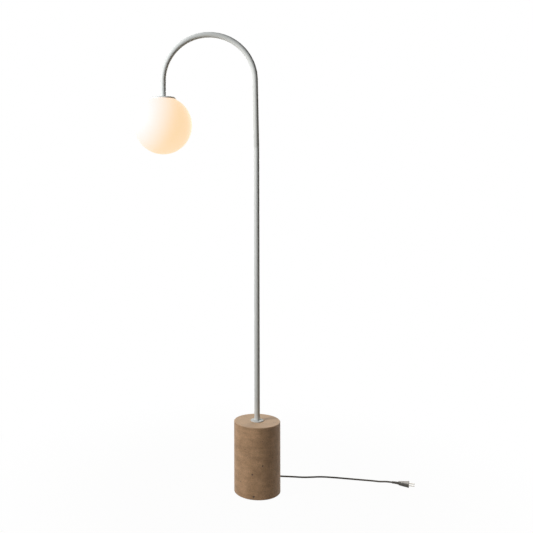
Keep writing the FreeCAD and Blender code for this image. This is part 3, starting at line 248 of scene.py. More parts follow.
# Nylon cord stop: milky plastic moulding.
NYLON_CLOUD_MM = 4
nylon, main, place = start_finish("moulded_nylon", Roughness=0.5, IOR=1.53)
nylon_cloud = add(nylon, "TexNoise", {"Vector": place, "Scale": 1000 / NYLON_CLOUD_MM})
tone = add(nylon, "MixRGB", {"Fac": nylon_cloud.outputs["Fac"], "Color1": rgb("#D9D6CC"),
                             "Color2": rgb("#E6E3DA")})
feed(nylon, main, Base_Color=tone.outputs["Color"])
for name in ("cord_stop_lower", "cord_stop_upper"):
    node[name].material_slots[0].material = nylon


# ---- Collar on the stone
# A turned steel washer, 45 mm across, that spreads the pole's load on the stone. It is
# powder-coated with the pole, and its upper edge is rounded.

# Powder coat on steel: pale grey-white, half matt, with a very fine orange peel.
PEEL_MM = 2.5
COAT_WAVE_MM = 70
powder, main, place = start_finish("powder_coated_steel", Roughness=0.5, IOR=1.5)
main.inputs["Specular IOR Level"].default_value = 0.15
peel = add(powder, "TexNoise", {"Vector": place, "Scale": 1000 / PEEL_MM, "Detail": 2.0})
wave = add(powder, "TexNoise", {"Vector": place, "Scale": 1000 / COAT_WAVE_MM, "Detail": 2.0})
tone = add(powder, "MixRGB", {"Fac": wave.outputs["Fac"], "Color1": rgb("#E7EAE8"), "Color2": rgb("#EDF0EE")})
peel_bump = add(powder, "Bump", {"Height": peel.outputs["Fac"], "Strength": 0.15, "Distance": 0.00002})
sheen = add(powder, "MapRange", {"Value": peel.outputs["Fac"], "To Min": 0.48, "To Max": 0.52})
feed(powder, main, Base_Color=tone.outputs["Color"], Normal=peel_bump.outputs["Normal"],
     Roughness=sheen.outputs["Result"])

STONE_TOP = 245
COLLAR_TOP = 248
COLLAR_RADIUS = 22.5
COLLAR_HOLE = 5.3
collar = spun("collar", [
    (COLLAR_HOLE, STONE_TOP), (COLLAR_RADIUS, STONE_TOP, 0.3), (COLLAR_RADIUS, COLLAR_TOP, 1.0),
    (COLLAR_HOLE, COLLAR_TOP),
], powder)
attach(collar, "stand")
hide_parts("base_collar")


# ---- Lower pole
# Steel tube, 19 mm across with a 1.5 mm wall, cut square and powder-coated. It stands
# on the collar, and two set screws at the back hold the joint to the arm.

def drilled(piece, start, toward, radius, depth):
    """Bores a round hole into a piece."""
    bit = spun("drill", [(0, 0), (radius, 0), (radius, depth), (0, depth)], powder, start, toward, 40)
    cut = piece.modifiers.new("hole", "BOOLEAN")
    cut.operation = "DIFFERENCE"
    cut.solver = "EXACT"
    cut.object = bit
    bpy.context.view_layer.update()
    bored = bpy.data.meshes.new_from_object(piece.evaluated_get(bpy.context.evaluated_depsgraph_get()))
    piece.modifiers.clear()
    piece.data = bored
    bored.set_sharp_from_angle(angle=math.radians(35))
    bpy.data.objects.remove(bit)


POLE_RADIUS = 9.5
POLE_BORE = 8
JOINT = 1193
SCREW_SET = 20
SCREW_HOLE = 2.15
DRILL_FROM = 5
DRILL_DEPTH = 10
lower_pole = spun("lower_pole_tube", [
    (POLE_BORE, COLLAR_TOP), (POLE_RADIUS, COLLAR_TOP, 0.3), (POLE_RADIUS, JOINT, 0.35), (POLE_BORE, JOINT),
], powder)
drilled(lower_pole, (0, DRILL_FROM, JOINT - SCREW_SET), (0, 1, 0), SCREW_HOLE, DRILL_DEPTH)
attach(lower_pole, "stand")
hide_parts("lower_pole")


# ---- Arm
# The same tube bent on a mandrel to a half circle of 160 mm radius. It leans one degree
# inwards over the joint, and its short straight end comes down on to the head.

LEAN = math.radians(1)
LEAN_ROOM = 0.22  # lifts the leaning tube's square end clear of the tube below
BEND = 160
BEND_STEPS = 96
ARM_SIDES = 72
UPPER_RUN = 236
HEAD_TOP = 1367.172
lean_way = Vector((-math.sin(LEAN), 0, math.cos(LEAN)))
arm_foot = Vector((0, 0, JOINT)) + lean_way * LEAN_ROOM
bend_start = Vector((0, 0, JOINT)) + lean_way * UPPER_RUN
bend_middle = bend_start - Vector((math.cos(LEAN), 0, math.sin(LEAN))) * BEND
STEM_X = bend_middle.x - BEND
# the tube's lower edge is broken, by a little less at each of three rings
broken = ((0, 0.35), (0.1, 0.15), (0.35, 0))
walk = [(arm_foot + lean_way * rise, lean_way, narrower) for rise, narrower in broken]
for step in range(BEND_STEPS + 1):
    angle = LEAN + (math.pi - LEAN) * step / BEND_STEPS
    out = Vector((math.cos(angle), 0, math.sin(angle)))
    walk.append((bend_middle + out * BEND, Vector((-out.z, 0, out.x)), 0))
stem_end = Vector((STEM_X, 0, HEAD_TOP))
walk.append((stem_end, Vector((0, 0, -1)), 0))
outside = [circle(spot, POLE_RADIUS - narrower, way, ARM_SIDES) for spot, way, narrower in walk]
inside = [circle(spot, POLE_BORE, way, ARM_SIDES) for spot, way, narrower in walk]
arm = skin("arm_tube", outside + inside[::-1], powder)
arm_screw = arm_foot + lean_way * (SCREW_SET - LEAN_ROOM)
drilled(arm, arm_screw + Vector((0, DRILL_FROM, 0)), (0, 1, 0), SCREW_HOLE, DRILL_DEPTH)
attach(arm, "stand")
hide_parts("upper_arc")

# The set screws: cup-point grub screws of 4 mm with a hexagon socket, just below flush.
SCREW_SIDES = 48
SCREW_FACE = 9.2
SOCKET_REACH = 1.12
SOCKET_DEPTH = 1.8
SOCKET_POINT = 2.1
screw_outline = ((5.5, 0), (5.5, 1.7), (5.8, 2), (9.05, 2), (SCREW_FACE, 1.85))
for name, spot in (("set_screw_lower", Vector((0, 0, JOINT - SCREW_SET))), ("set_screw_upper", arm_screw)):
    rings = [circle(spot + Vector((0, out, 0)), radius, (0, 1, 0), SCREW_SIDES)
             for out, radius in screw_outline]
    hexagon = circle(spot + Vector((0, SCREW_FACE, 0)), SOCKET_REACH, (0, 1, 0), 6)
    along = SCREW_SIDES // 6
    mouth = [hexagon[step // along].lerp(hexagon[(step // along + 1) % 6], step % along / along)
             for step in range(SCREW_SIDES)]
    rings.append(mouth)
    rings.append([point - Vector((0, SOCKET_DEPTH, 0)) for point in mouth])
    rings.append(circle(spot + Vector((0, SCREW_FACE - SOCKET_POINT, 0)), 0, (0, 1, 0), SCREW_SIDES))
    screw = skin(name, rings, zinc, closed=False)
    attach(screw, "stand")
    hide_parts("set_screws")


# ---- Cap over the globe
# A shallow steel cup spun from sheet, 88 mm across, that the nipple and its nut clamp
# under the arm's end. It is powder-coated with the arm, and hides the globe's mouth.

CAP_RADIUS = 44
CAP_SHEET = 1.2
CAP_RIM = 1361.2
CAP_HOLE = 5.2
cap_inside = CAP_RADIUS - CAP_SHEET
cap = spun("globe_cap_cup", [
    (CAP_HOLE, HEAD_TOP - CAP_SHEET), (cap_inside, HEAD_TOP - CAP_SHEET, 1.0), (cap_inside, CAP_RIM + 0.55),
    (CAP_RADIUS, CAP_RIM, 0.3), (CAP_RADIUS, HEAD_TOP, 2.2), (CAP_HOLE, HEAD_TOP),
], powder, (STEM_X, 0, 0), steps=128)
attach(cap, "stand")
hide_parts("globe_cap")

# a small bead of weld closes the seam of arm and cap, ground smooth and painted over
WELD_BORE = POLE_BORE + 0.5
WELD_TOP = HEAD_TOP + 1.3
weld = spun("stem_weld", [
    (WELD_BORE, HEAD_TOP), (POLE_RADIUS + 1.2, HEAD_TOP), (POLE_RADIUS + 0.35, HEAD_TOP + 0.35, 0.4),
    (POLE_RADIUS - 0.05, WELD_TOP), (WELD_BORE, WELD_TOP),
], powder, (STEM_X, 0, 0))
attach(weld, "stand")


# ---- Seat of the globe
# A flat silicone ring under the cap, and three spring strips riveted to a plate, which
# press outwards against the edge of the globe's mouth.

# Silicone rubber: milky and dull, with a faint cloud in it.
SILICONE_CLOUD_MM = 6
silicone, main, place = start_finish("silicone_rubber", Roughness=0.6, IOR=1.41)
cloudy = add(silicone, "TexNoise", {"Vector": place, "Scale": 1000 / SILICONE_CLOUD_MM, "Detail": 2.0})
tone = add(silicone, "MixRGB", {"Fac": cloudy.outputs["Fac"], "Color1": rgb("#E2E2DE"),
                                "Color2": rgb("#ECECE9")})
feed(silicone, main, Base_Color=tone.outputs["Color"])
node["gasket"].material_slots[0].material = silicone

# Spring steel: cold-rolled strip, darker than zinc, with a fine cloud from rolling.
ROLLING_MM = 0.8
spring_steel, main, place = start_finish("spring_steel", Metallic=1.0, Roughness=0.28)
rolled = add(spring_steel, "TexNoise", {"Vector": place, "Scale": 1000 / ROLLING_MM, "Detail": 3.0})
tone = add(spring_steel, "MixRGB", {"Fac": rolled.outputs["Fac"], "Color1": rgb("#8E8F90"),
                                    "Color2": rgb("#ABACAD")})
feed(spring_steel, main, Base_Color=tone.outputs["Color"])
node["globe_clips"].material_slots[0].material = spring_steel


# ---- Glass globe
# A hand-blown ball of opal glass, 200 mm across with a 3 mm wall, its mouth cut and
# fire-polished. It has a satin, acid-etched surface and glows from the bulb inside.

# Opal glass: milk-white, silky, and evenly lit through by a warm bulb. Its own colour is
# set cool, so that glow and daylight together turn white on the side of the window, and
# without its glow it would look blue.
MILK_MM = 120
ETCH_MM = 0.9
opal, main, place = start_finish("etched_opal_glass", Roughness=0.6, IOR=1.5)
main.inputs["Specular IOR Level"].default_value = 0.12
milk = add(opal, "TexNoise", {"Vector": place, "Scale": 1000 / MILK_MM, "Detail": 2.0})
tone = add(opal, "MixRGB", {"Fac": milk.outputs["Fac"], "Color1": rgb("#7A8CBE"), "Color2": rgb("#8092C4")})
etch = add(opal, "TexNoise", {"Vector": place, "Scale": 1000 / ETCH_MM, "Detail": 2.0})
etch_bump = add(opal, "Bump", {"Height": etch.outputs["Fac"], "Strength": 0.08, "Distance": 0.0001})
main.inputs["Emission Color"].default_value = rgb("#FBD9A9")
main.inputs["Emission Strength"].default_value = 1.0
feed(opal, main, Base_Color=tone.outputs["Color"], Normal=etch_bump.outputs["Normal"])

GLOBE_RADIUS = 100
GLOBE_WALL = 3
GLOBE_MOUTH = 35
GLOBE_HEIGHT = 1271.147
GLOBE_STEPS = 96
outline = []
for radius, order in ((GLOBE_RADIUS, range(GLOBE_STEPS + 1)),
                      (GLOBE_RADIUS - GLOBE_WALL, range(GLOBE_STEPS, -1, -1))):
    mouth = math.asin(GLOBE_MOUTH / radius)
    for step in order:
        angle = mouth + (math.pi - mouth) * step / GLOBE_STEPS
        outline.append((radius * math.sin(angle), radius * math.cos(angle)))
# both edges of the mouth are melted round
outline[-1] = (GLOBE_MOUTH, outline[-1][1], 1.0)
outline[0] = (GLOBE_MOUTH, outline[0][1], 1.0)
globe = spun("opal_globe", outline, opal, (STEM_X, 0, GLOBE_HEIGHT), steps=160)
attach(globe, "globe")
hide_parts("glass_globe", "globe_shoulder")


# ---- Lampholder
# A two-piece holder of white thermoplastic: a domed cap screwed to the nipple and a
# ribbed skirt below it. Inside are a ceramic-filled core, brass terminals and the thread.

# PBT thermoplastic: white, smooth and slightly warm, from a finely sparked mould.
FLOW_MM = 9
SPARK_MM = 0.4
pbt, main, place = start_finish("moulded_pbt", Roughness=0.36, IOR=1.55)
flow = add(pbt, "TexNoise", {"Vector": place, "Scale": 1000 / FLOW_MM, "Detail": 2.0})
tone = add(pbt, "MixRGB", {"Fac": flow.outputs["Fac"], "Color1": rgb("#E8E6E1"), "Color2": rgb("#F0EEE9")})
spark = add(pbt, "TexNoise", {"Vector": place, "Scale": 1000 / SPARK_MM})
spark_bump = add(pbt, "Bump", {"Height": spark.outputs["Fac"], "Strength": 0.12, "Distance": 0.0001})
feed(pbt, main, Base_Color=tone.outputs["Color"], Normal=spark_bump.outputs["Normal"])
node["lampholder_core"].material_slots[0].material = pbt

HOLDER_TOP = 1358.772
HOLDER_RADIUS = 20
HOLDER_INSIDE = 17.8
HOLDER_HOLE = 5.1
holder_cap = spun("holder_cap", [
    (HOLDER_HOLE, HOLDER_TOP - 8.8), (8, HOLDER_TOP - 8.8), (8, HOLDER_TOP - 2.2), (10.9, HOLDER_TOP - 2.2),
    (HOLDER_INSIDE, HOLDER_TOP - 11), (HOLDER_INSIDE, HOLDER_TOP - 22), (HOLDER_RADIUS, HOLDER_TOP - 22, 0.4),
    (HOLDER_RADIUS, HOLDER_TOP - 9.9, 5), (12, HOLDER_TOP, 1.2), (HOLDER_HOLE, HOLDER_TOP, 0.5),
], pbt, (STEM_X, 0, 0))
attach(holder_cap, "stand")
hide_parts("lampholder_cap")

SKIRT_TOP = 1336.772
SKIRT_LENGTH = 31
SKIRT_GROOVE = 19.7
RIB_STEPS = 6
skirt_outline = eased([
    (HOLDER_INSIDE, SKIRT_TOP - SKIRT_LENGTH, 0.4), (HOLDER_INSIDE, SKIRT_TOP),
    (HOLDER_RADIUS, SKIRT_TOP, 0.4), (HOLDER_RADIUS, SKIRT_TOP - 2.4),
    (SKIRT_GROOVE, SKIRT_TOP - 2.6), (SKIRT_GROOVE, SKIRT_TOP - 3.0),
    (HOLDER_RADIUS, SKIRT_TOP - 3.2), (HOLDER_RADIUS, SKIRT_TOP - 26), (SKIRT_GROOVE, SKIRT_TOP - 26.4),
    (HOLDER_RADIUS, SKIRT_TOP - 26.8), (HOLDER_RADIUS, SKIRT_TOP - SKIRT_LENGTH, 0.6),
])
rings = []
for radius, height in skirt_outline:
    ring = circle((STEM_X, 0, height), radius, steps=40 * RIB_STEPS)
    if radius > 19.9 and SKIRT_TOP - 26.5 < height < SKIRT_TOP - 3:
        # forty grip ribs run down the skirt
        middle = Vector((STEM_X, 0, height))
        swell = [0.22 * math.cos(math.tau * step / RIB_STEPS) - 0.25 for step in range(len(ring))]
        ring = [point + (point - middle).normalized() * more for point, more in zip(ring, swell)]
    rings.append(ring)
holder_skirt = skin("holder_skirt", rings, pbt)
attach(holder_skirt, "stand")
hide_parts("lampholder_skirt")

# Brass, drawn and bare: warm yellow with a faint tarnish, for terminals and contacts.
TARNISH_MM = 2.5
brass, main, place = start_finish("drawn_brass", Metallic=1.0, Roughness=0.25)
tarnish = add(brass, "TexNoise", {"Vector": place, "Scale": 1000 / TARNISH_MM, "Detail": 3.0})
tone = add(brass, "MixRGB", {"Fac": tarnish.outputs["Fac"], "Color1": rgb("#B9975B"),
                             "Color2": rgb("#D6B878")})
feed(brass, main, Base_Color=tone.outputs["Color"])
for name in ("terminals", "centre_contact", "bulb_contact", "switch_contacts"):
    node[name].material_slots[0].material = brass


def threaded(name, radius, wall, low, high, finish):
    """A thin metal shell pressed into a round screw thread of 3.6 mm pitch."""
    pitch, depth, steps, rise, run_out = 3.6, 0.5, 72, 0.3, 2
    rings = []
    levels = int((high - low) / rise)
    for side, order in ((0, range(levels + 1)), (wall, range(levels, -1, -1))):
        for level in order:
            height = low + (high - low) * level / levels
            middle = Vector((STEM_X, 0, height))
            fade = min(1, (height - low) / run_out, (high - height) / run_out)
            turns = [height / pitch - step / steps for step in range(steps)]
            reach = [radius - side - depth * fade * (0.5 - 0.5 * math.cos(math.tau * turn)) for turn in turns]
            ring = circle(middle, 1, steps=steps)
            rings.append([middle + (point - middle) * far for point, far in zip(ring, reach)])
    return skin(name, rings, finish, crease=60)


CORE_FACE = 1332.772
HOLDER_THREAD = 14.2
THREAD_WALL = 0.3
holder_thread = threaded("holder_thread", HOLDER_THREAD, THREAD_WALL, CORE_FACE - 23, CORE_FACE, brass)
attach(holder_thread, "stand")
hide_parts("lampholder_sleeve")


# ---- Bulb
# An LED bulb with a screw cap: a plated shell and glass insulator on top, a tapered
# white body with the driver board in it, and a dome of opal polycarbonate below.

# Nickel plate on brass: warm silver, rolled thin.
HANDLED_MM = 6
nickel, main, place = start_finish("nickel_plated_brass", Metallic=1.0, Roughness=0.24)
handled = add(nickel, "TexNoise", {"Vector": place, "Scale": 1000 / HANDLED_MM, "Detail": 4.0})
tone = add(nickel, "MixRGB", {"Fac": handled.outputs["Fac"], "Color1": rgb("#B5B1A9"),
                              "Color2": rgb("#CFCBC3")})
feed(nickel, main, Base_Color=tone.outputs["Color"])

BODY_TOP = 1307.372
BULB_THREAD = 13.2
bulb_thread = threaded("bulb_thread", BULB_THREAD, THREAD_WALL, BODY_TOP, BODY_TOP + 20, nickel)
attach(bulb_thread, "bulb")
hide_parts("bulb_screw_cap")

# Vitrite insulator: black glass, glossy, with a few seeds.
SEED_MM = 2
vitrite, main, place = start_finish("black_vitrite", Roughness=0.2, IOR=1.5)
seeds = add(vitrite, "TexNoise", {"Vector": place, "Scale": 1000 / SEED_MM})
tone = add(vitrite, "MixRGB", {"Fac": seeds.outputs["Fac"], "Color1": rgb("#141316"),
                               "Color2": rgb("#242227")})
feed(vitrite, main, Base_Color=tone.outputs["Color"])
node["bulb_insulator"].material_slots[0].material = vitrite

# The body: a moulded cone with a neck that the screw cap is crimped on to.
bulb_body = spun("bulb_housing", [
    (11.1, BODY_TOP + 17), (12.5, BODY_TOP + 17), (12.5, BODY_TOP), (14.6, BODY_TOP, 0.5),
    (15.6, BODY_TOP - 1.4, 0.6), (27.2, BODY_TOP - 15.4, 6), (28.6, BODY_TOP - 21.2), (28.2, BODY_TOP - 22),
    (25.8, BODY_TOP - 22), (24.4, BODY_TOP - 15.4), (11.1, BODY_TOP - 1.4),
], pbt, (STEM_X, 0, 0))
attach(bulb_body, "bulb")
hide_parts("bulb_body")

# Opal polycarbonate: a lit dome, milk-white and smooth.
HAZE_MM = 40
diffuser, main, place = start_finish("opal_polycarbonate", Roughness=0.3, IOR=1.58)
haze = add(diffuser, "TexNoise", {"Vector": place, "Scale": 1000 / HAZE_MM})
tone = add(diffuser, "MixRGB", {"Fac": haze.outputs["Fac"], "Color1": rgb("#8F93A6"),
                                "Color2": rgb("#989CAF")})
main.inputs["Emission Color"].default_value = rgb("#FFDCA8")
main.inputs["Emission Strength"].default_value = 0.9
feed(diffuser, main, Base_Color=tone.outputs["Color"])

LED_LEVEL = 1285.372
DOME_MIDDLE = 1254.972
DOME_RADIUS = 30
DOME_INSIDE = 28.6
DOME_STEPS = 32
dome_edge = LED_LEVEL - DOME_MIDDLE
quarter = [math.pi / 2 * step / DOME_STEPS for step in range(DOME_STEPS + 1)]
dome_outline = [(27.4, dome_edge), (DOME_INSIDE, dome_edge), (29.6, 14)]
dome_outline += [(DOME_RADIUS * math.cos(angle), -DOME_RADIUS * math.sin(angle)) for angle in quarter]
dome_outline += [(DOME_INSIDE * math.sin(angle), -DOME_INSIDE * math.cos(angle)) for angle in quarter]
dome = spun("bulb_dome", dome_outline, diffuser, (STEM_X, 0, DOME_MIDDLE))
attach(dome, "bulb")
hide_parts("bulb_diffuser")

# Epoxy-glass board: pale solder mask over a woven cloth that shows through.
WEAVE_MM = 1.2
board, main, place = start_finish("epoxy_glass_board", Roughness=0.4)
cloth = add(board, "TexChecker", {"Vector": place, "Scale": 1000 / WEAVE_MM, "Color1": rgb("#D9DFD6"),
                                  "Color2": rgb("#CCD4C9")})
feed(board, main, Base_Color=cloth.outputs["Color"])
for name in ("driver_board", "led_board"):
    node[name].material_slots[0].material = board

# Phosphor in silicone: yellow, dull and grainy.
PHOSPHOR_MM = 0.5
phosphor, main, place = start_finish("phosphor_chip", Roughness=0.5)
phosphor_spots = add(phosphor, "TexNoise", {"Vector": place, "Scale": 1000 / PHOSPHOR_MM})
tone = add(phosphor, "MixRGB", {"Fac": phosphor_spots.outputs["Fac"], "Color1": rgb("#E0B53A"),
                                "Color2": rgb("#F0CB5C")})
feed(phosphor, main, Base_Color=tone.outputs["Color"])
node["led_chips"].material_slots[0].material = phosphor


# ---- Cord
# A round two-core lead, 5.8 mm over its PVC jacket. It leaves the foot at the back, runs
# through the foot switch to a tied coil behind the stone, and comes out to the right.

# PVC jacket: dark warm grey, extruded, with a low shine and a faint unevenness.
JACKET_MM = 2.5
pvc, main, place = start_finish("pvc_jacket", Roughness=0.6, IOR=1.53)
main.inputs["Specular IOR Level"].default_value = 0.25
drawn = add(pvc, "TexNoise", {"Vector": place, "Scale": 1000 / JACKET_MM, "Detail": 3.0})
tone = add(pvc, "MixRGB", {"Fac": drawn.outputs["Fac"], "Color1": rgb("#5F5B54"), "Color2": rgb("#716B61")})
pvc_bump = add(pvc, "Bump", {"Height": drawn.outputs["Fac"], "Strength": 0.1, "Distance": 0.0002})
feed(pvc, main, Base_Color=tone.outputs["Color"], Normal=pvc_bump.outputs["Normal"])
for name in ("inner_cable", "supply_wires", "switch_wires"):
    node[name].material_slots[0].material = pvc

CORD_RADIUS = 2.9
EXIT = (0, 103, 10)
COIL_MIDDLE = (43.8, 259)
COIL_OUTER = 43.8
COIL_INNER = 24
COIL_STEP = 6.6
LAYER_RISE = 6.4
COIL_TURNS = 6.5
TURN_STEPS = 16
PLUG_LEVEL = 6.5
BEFORE_PLUG = (466, 63.8, PLUG_LEVEL)
AT_PLUG = (484, 57.3, PLUG_LEVEL)
route = [EXIT, (0, 112, 10), (0, 121, 8), (0, 129, 8), (0, 148, 6.2), (0, 192, 6.2), (0, 211, 8), (0, 223, 8),
         (-0.48, 239.2, CORD_RADIUS), (-0.14, 253.2, CORD_RADIUS)]
# six and a half turns: three in along the floor, half a turn up, three out on top
for step in range(int(COIL_TURNS * TURN_STEPS) + 1):
    turn = step / TURN_STEPS
    if turn <= 3:
        radius = COIL_OUTER - COIL_STEP * turn
        height = CORD_RADIUS
    elif turn < 3.5:
        share = (turn - 3) * 2
        radius = COIL_INNER - COIL_STEP / 2 * (share - share ** 2)
        height = CORD_RADIUS + LAYER_RISE * (3 * share ** 2 - 2 * share ** 3)
    else:
        radius = COIL_INNER + COIL_STEP * (turn - 3.5)
        height = CORD_RADIUS + LAYER_RISE
    angle = math.pi - math.tau * turn
    route.append((COIL_MIDDLE[0] + radius * math.cos(angle), COIL_MIDDLE[1] + radius * math.sin(angle),
                  height))
route += [(87.74, 253.2, 9.3), (88.17, 235.2, 9.3)]
route += [(across, away, CORD_RADIUS) for across, away in (
    (85.5, 207), (77.5, 187), (68.6, 153), (74.3, 135.2), (88.7, 123.2), (109, 120.7), (140, 117.2),
    (176, 111.2), (210, 113.6), (241, 116.6), (275, 111.8), (315, 103.2), (356, 93.6), (397, 84.4),
    (426, 77.8), (446, 71.2))]
route += [BEFORE_PLUG, AT_PLUG]
line = bpy.data.curves.new("mains_cord", "CURVE")
line.dimensions = "3D"
spline = line.splines.new("NURBS")
spline.points.add(len(route) - 1)
for point, spot in zip(spline.points, route):
    point.co = (*(Vector(spot) / 1000), 1)
spline.order_u = 3
spline.use_endpoint_u = True
spline.resolution_u = 8
line.bevel_depth = CORD_RADIUS / 1000
line.bevel_resolution = 6
line.use_fill_caps = True
line.materials.append(pvc)
cord = bpy.data.objects.new("mains_cord", line)
bpy.context.scene.collection.objects.link(cord)
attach(cord, "stand")
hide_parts("cord_to_switch", "cord_to_coil", "cord_coil", "cord_to_plug")


# ---- Strain relief at the foot
# A PVC bushing pushed into the stone from the back: a flange against the stone, then a
# tapered tail with ribs that let it bend with the lead.

# Moulded PVC: the jacket's grey, a little darker and smoother.
MOTTLE_MM = 5
MOULD_GRAIN_MM = 0.5
moulded_pvc, main, place = start_finish("moulded_pvc", Roughness=0.4, IOR=1.53)
mottle = add(moulded_pvc, "TexNoise", {"Vector": place, "Scale": 1000 / MOTTLE_MM, "Detail": 2.0})
tone = add(moulded_pvc, "MixRGB", {"Fac": mottle.outputs["Fac"], "Color1": rgb("#4E4A43"),
                                   "Color2": rgb("#5D5852")})
fine = add(moulded_pvc, "TexNoise", {"Vector": place, "Scale": 1000 / MOULD_GRAIN_MM})
fine_bump = add(moulded_pvc, "Bump", {"Height": fine.outputs["Fac"], "Strength": 0.12, "Distance": 0.0001})
feed(moulded_pvc, main, Base_Color=tone.outputs["Color"], Normal=fine_bump.outputs["Normal"])

CORD_HOLE = 2.95
FLANGE_FACE = 78.8
FLANGE_RADIUS = 7.5
RELIEF_LENGTH = 24.2
relief_outline = [(CORD_HOLE, -8), (5.2, -8), (5.2, 0), (FLANGE_RADIUS, 0, 0.3), (FLANGE_RADIUS, 2.2, 0.7),
                  (5.5, 2.2)]
for rib in range(6):
    low = 3.4 + 3.3 * rib
    thick = 5.5 - 1.2 * low / RELIEF_LENGTH
    relief_outline += [(thick, low), (thick - 0.8, low + 0.35, 0.25), (thick - 0.85, low + 1.15, 0.25),
                       (thick - 0.1, low + 1.5)]
relief_outline += [(4.2, RELIEF_LENGTH, 0.4), (CORD_HOLE, RELIEF_LENGTH)]
relief = spun("strain_relief", relief_outline, moulded_pvc, (0, FLANGE_FACE, EXIT[2]), (0, 1, 0), 64)
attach(relief, "stand")
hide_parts("exit_bushing")


# ---- Foot switch
# Two shells of dark ABS, 64 mm long, screwed together round the lead, with a round push
# button in the middle and a soft sleeve at each end.

# ABS with a spark-eroded grain: dark grey, low shine.
ABS_SHADE_MM = 12
ERODED_MM = 0.7
abs_plastic, main, place = start_finish("moulded_abs", Roughness=0.46, IOR=1.54)
shade = add(abs_plastic, "TexNoise", {"Vector": place, "Scale": 1000 / ABS_SHADE_MM, "Detail": 2.0})
tone = add(abs_plastic, "MixRGB", {"Fac": shade.outputs["Fac"], "Color1": rgb("#403D39"),
                                   "Color2": rgb("#4D4A45")})
erode = add(abs_plastic, "TexVoronoi", {"Vector": place, "Scale": 1000 / ERODED_MM})
abs_bump = add(abs_plastic, "Bump", {"Height": erode.outputs["Distance"], "Strength": 0.2,
                                     "Distance": 0.0001})
feed(abs_plastic, main, Base_Color=tone.outputs["Color"], Normal=abs_bump.outputs["Normal"])

SWITCH_PLACE = 170
SWITCH_SIDES = 96


def shell_ring(inset, height):
    """The housing's outline in plan, drawn in from its full 30 by 64 mm."""
    half, long, corner = 15 - inset, 32 - inset, 8 - inset * 0.7
    ring = []
    for step in range(SWITCH_SIDES):
        angle = math.tau * step / SWITCH_SIDES
        reach = Vector((math.cos(angle), math.sin(angle)))
        quarter = Vector((math.copysign(half - corner, reach.x), math.copysign(long - corner, reach.y)))
        ring.append((quarter.x + corner * reach.x, SWITCH_PLACE + quarter.y + corner * reach.y, height))
    return ring


# each pair is how far the shell is drawn in, and its height
lower_shell = skin("switch_base_shell", [shell_ring(inset, height) for inset, height in (
    (2, 2), (2, 7.8), (0.5, 7.8), (0.3, 7.6), (0.2, 4), (0.3, 1.2), (0.8, 0.4), (1.6, 0), (14.5, 0),
    (14.5, 2),
)], abs_plastic)
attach(lower_shell, "stand")
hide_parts("switch_bottom")

SHELL_TOP = 19
SHELL_UNDER = 17
BUTTON_WAY = 9.3
upper_rings = [shell_ring(inset, height) for inset, height in (
    (2, 8.1), (0.5, 8.1), (0.2, 8.4), (0, 9.2), (0.1, 14.5), (0.5, 16.6), (1.4, 18.2), (2.6, 18.8),
    (4, SHELL_TOP),
)]
for radius, height in ((BUTTON_WAY + 0.5, SHELL_TOP), (BUTTON_WAY + 0.15, 18.85), (BUTTON_WAY, 18.5),
                       (BUTTON_WAY, SHELL_UNDER)):
    ring = circle((0, SWITCH_PLACE, height), radius, steps=SWITCH_SIDES)
    # a circle starts on the other side of the switch than the housing's outline
    upper_rings.append(ring[SWITCH_SIDES // 2:] + ring[:SWITCH_SIDES // 2])
upper_rings.append(shell_ring(2.4, SHELL_UNDER))
upper_shell = skin("switch_top_shell", upper_rings, abs_plastic)
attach(upper_shell, "stand")
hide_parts("switch_top")

# Pale ABS for the button: light grey, a little scuffed. It has a shallow dish for the toe
# and one raised ring.
SCUFF_MM = 4
button_abs, main, place = start_finish("pale_abs", Roughness=0.4, IOR=1.54)
scuff = add(button_abs, "TexNoise", {"Vector": place, "Scale": 1000 / SCUFF_MM, "Detail": 5.0})
tone = add(button_abs, "MixRGB", {"Fac": scuff.outputs["Fac"], "Color1": rgb("#87817A"),
                                  "Color2": rgb("#9A948C")})
feed(button_abs, main, Base_Color=tone.outputs["Color"])
BUTTON_UNDER = 16.9
BUTTON_FLANGE = 10.6
BUTTON_RADIUS = 9
button = spun("switch_push_button", [
    (0, BUTTON_UNDER - 3.1), (2.9, BUTTON_UNDER - 3.1), (2.9, BUTTON_UNDER - 1.6),
    (BUTTON_FLANGE, BUTTON_UNDER - 1.6), (BUTTON_FLANGE, BUTTON_UNDER), (BUTTON_RADIUS, BUTTON_UNDER),
    (BUTTON_RADIUS, BUTTON_UNDER + 5.6, 1.4), (7.4, BUTTON_UNDER + 5.5, 0.3), (6.4, BUTTON_UNDER + 5.0, 0.6),
    (0, BUTTON_UNDER + 4.7),
], button_abs, (0, SWITCH_PLACE, 0))
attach(button, "button")
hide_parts("switch_button")

# The return spring under it, of round spring wire, closes up as the button goes down.
SPRING_RADIUS = 4
SPRING_WIRE = 0.35
SPRING_TURNS = 5
SPRING_STEPS = 24
WIRE_SIDES = 12
SPRING_FOOT = 2.1
SPRING_HEAD = BUTTON_UNDER - 1.7
winding = []
for step in range(SPRING_STEPS * SPRING_TURNS + 1):
    share = step / SPRING_STEPS / SPRING_TURNS
    turn = math.tau * step / SPRING_STEPS
    out = Vector((math.cos(turn), math.sin(turn), 0))
    height = SPRING_FOOT + SPRING_WIRE + (SPRING_HEAD - SPRING_FOOT - 2 * SPRING_WIRE) * share
    spot = Vector((0, SWITCH_PLACE, height)) + out * SPRING_RADIUS
    around = [math.tau * part / WIRE_SIDES for part in range(WIRE_SIDES)]
    winding.append([spot + SPRING_WIRE * (out * math.cos(angle) + Vector((0, 0, math.sin(angle))))
                    for angle in around])
tips = [[sum(ring, Vector()) / WIRE_SIDES] * WIRE_SIDES for ring in (winding[0], winding[-1])]
return_spring = skin("return_spring", [tips[0], *winding, tips[1]], spring_steel, closed=False, crease=60)
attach(return_spring, "stand")
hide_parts("switch_spring")
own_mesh(return_spring)

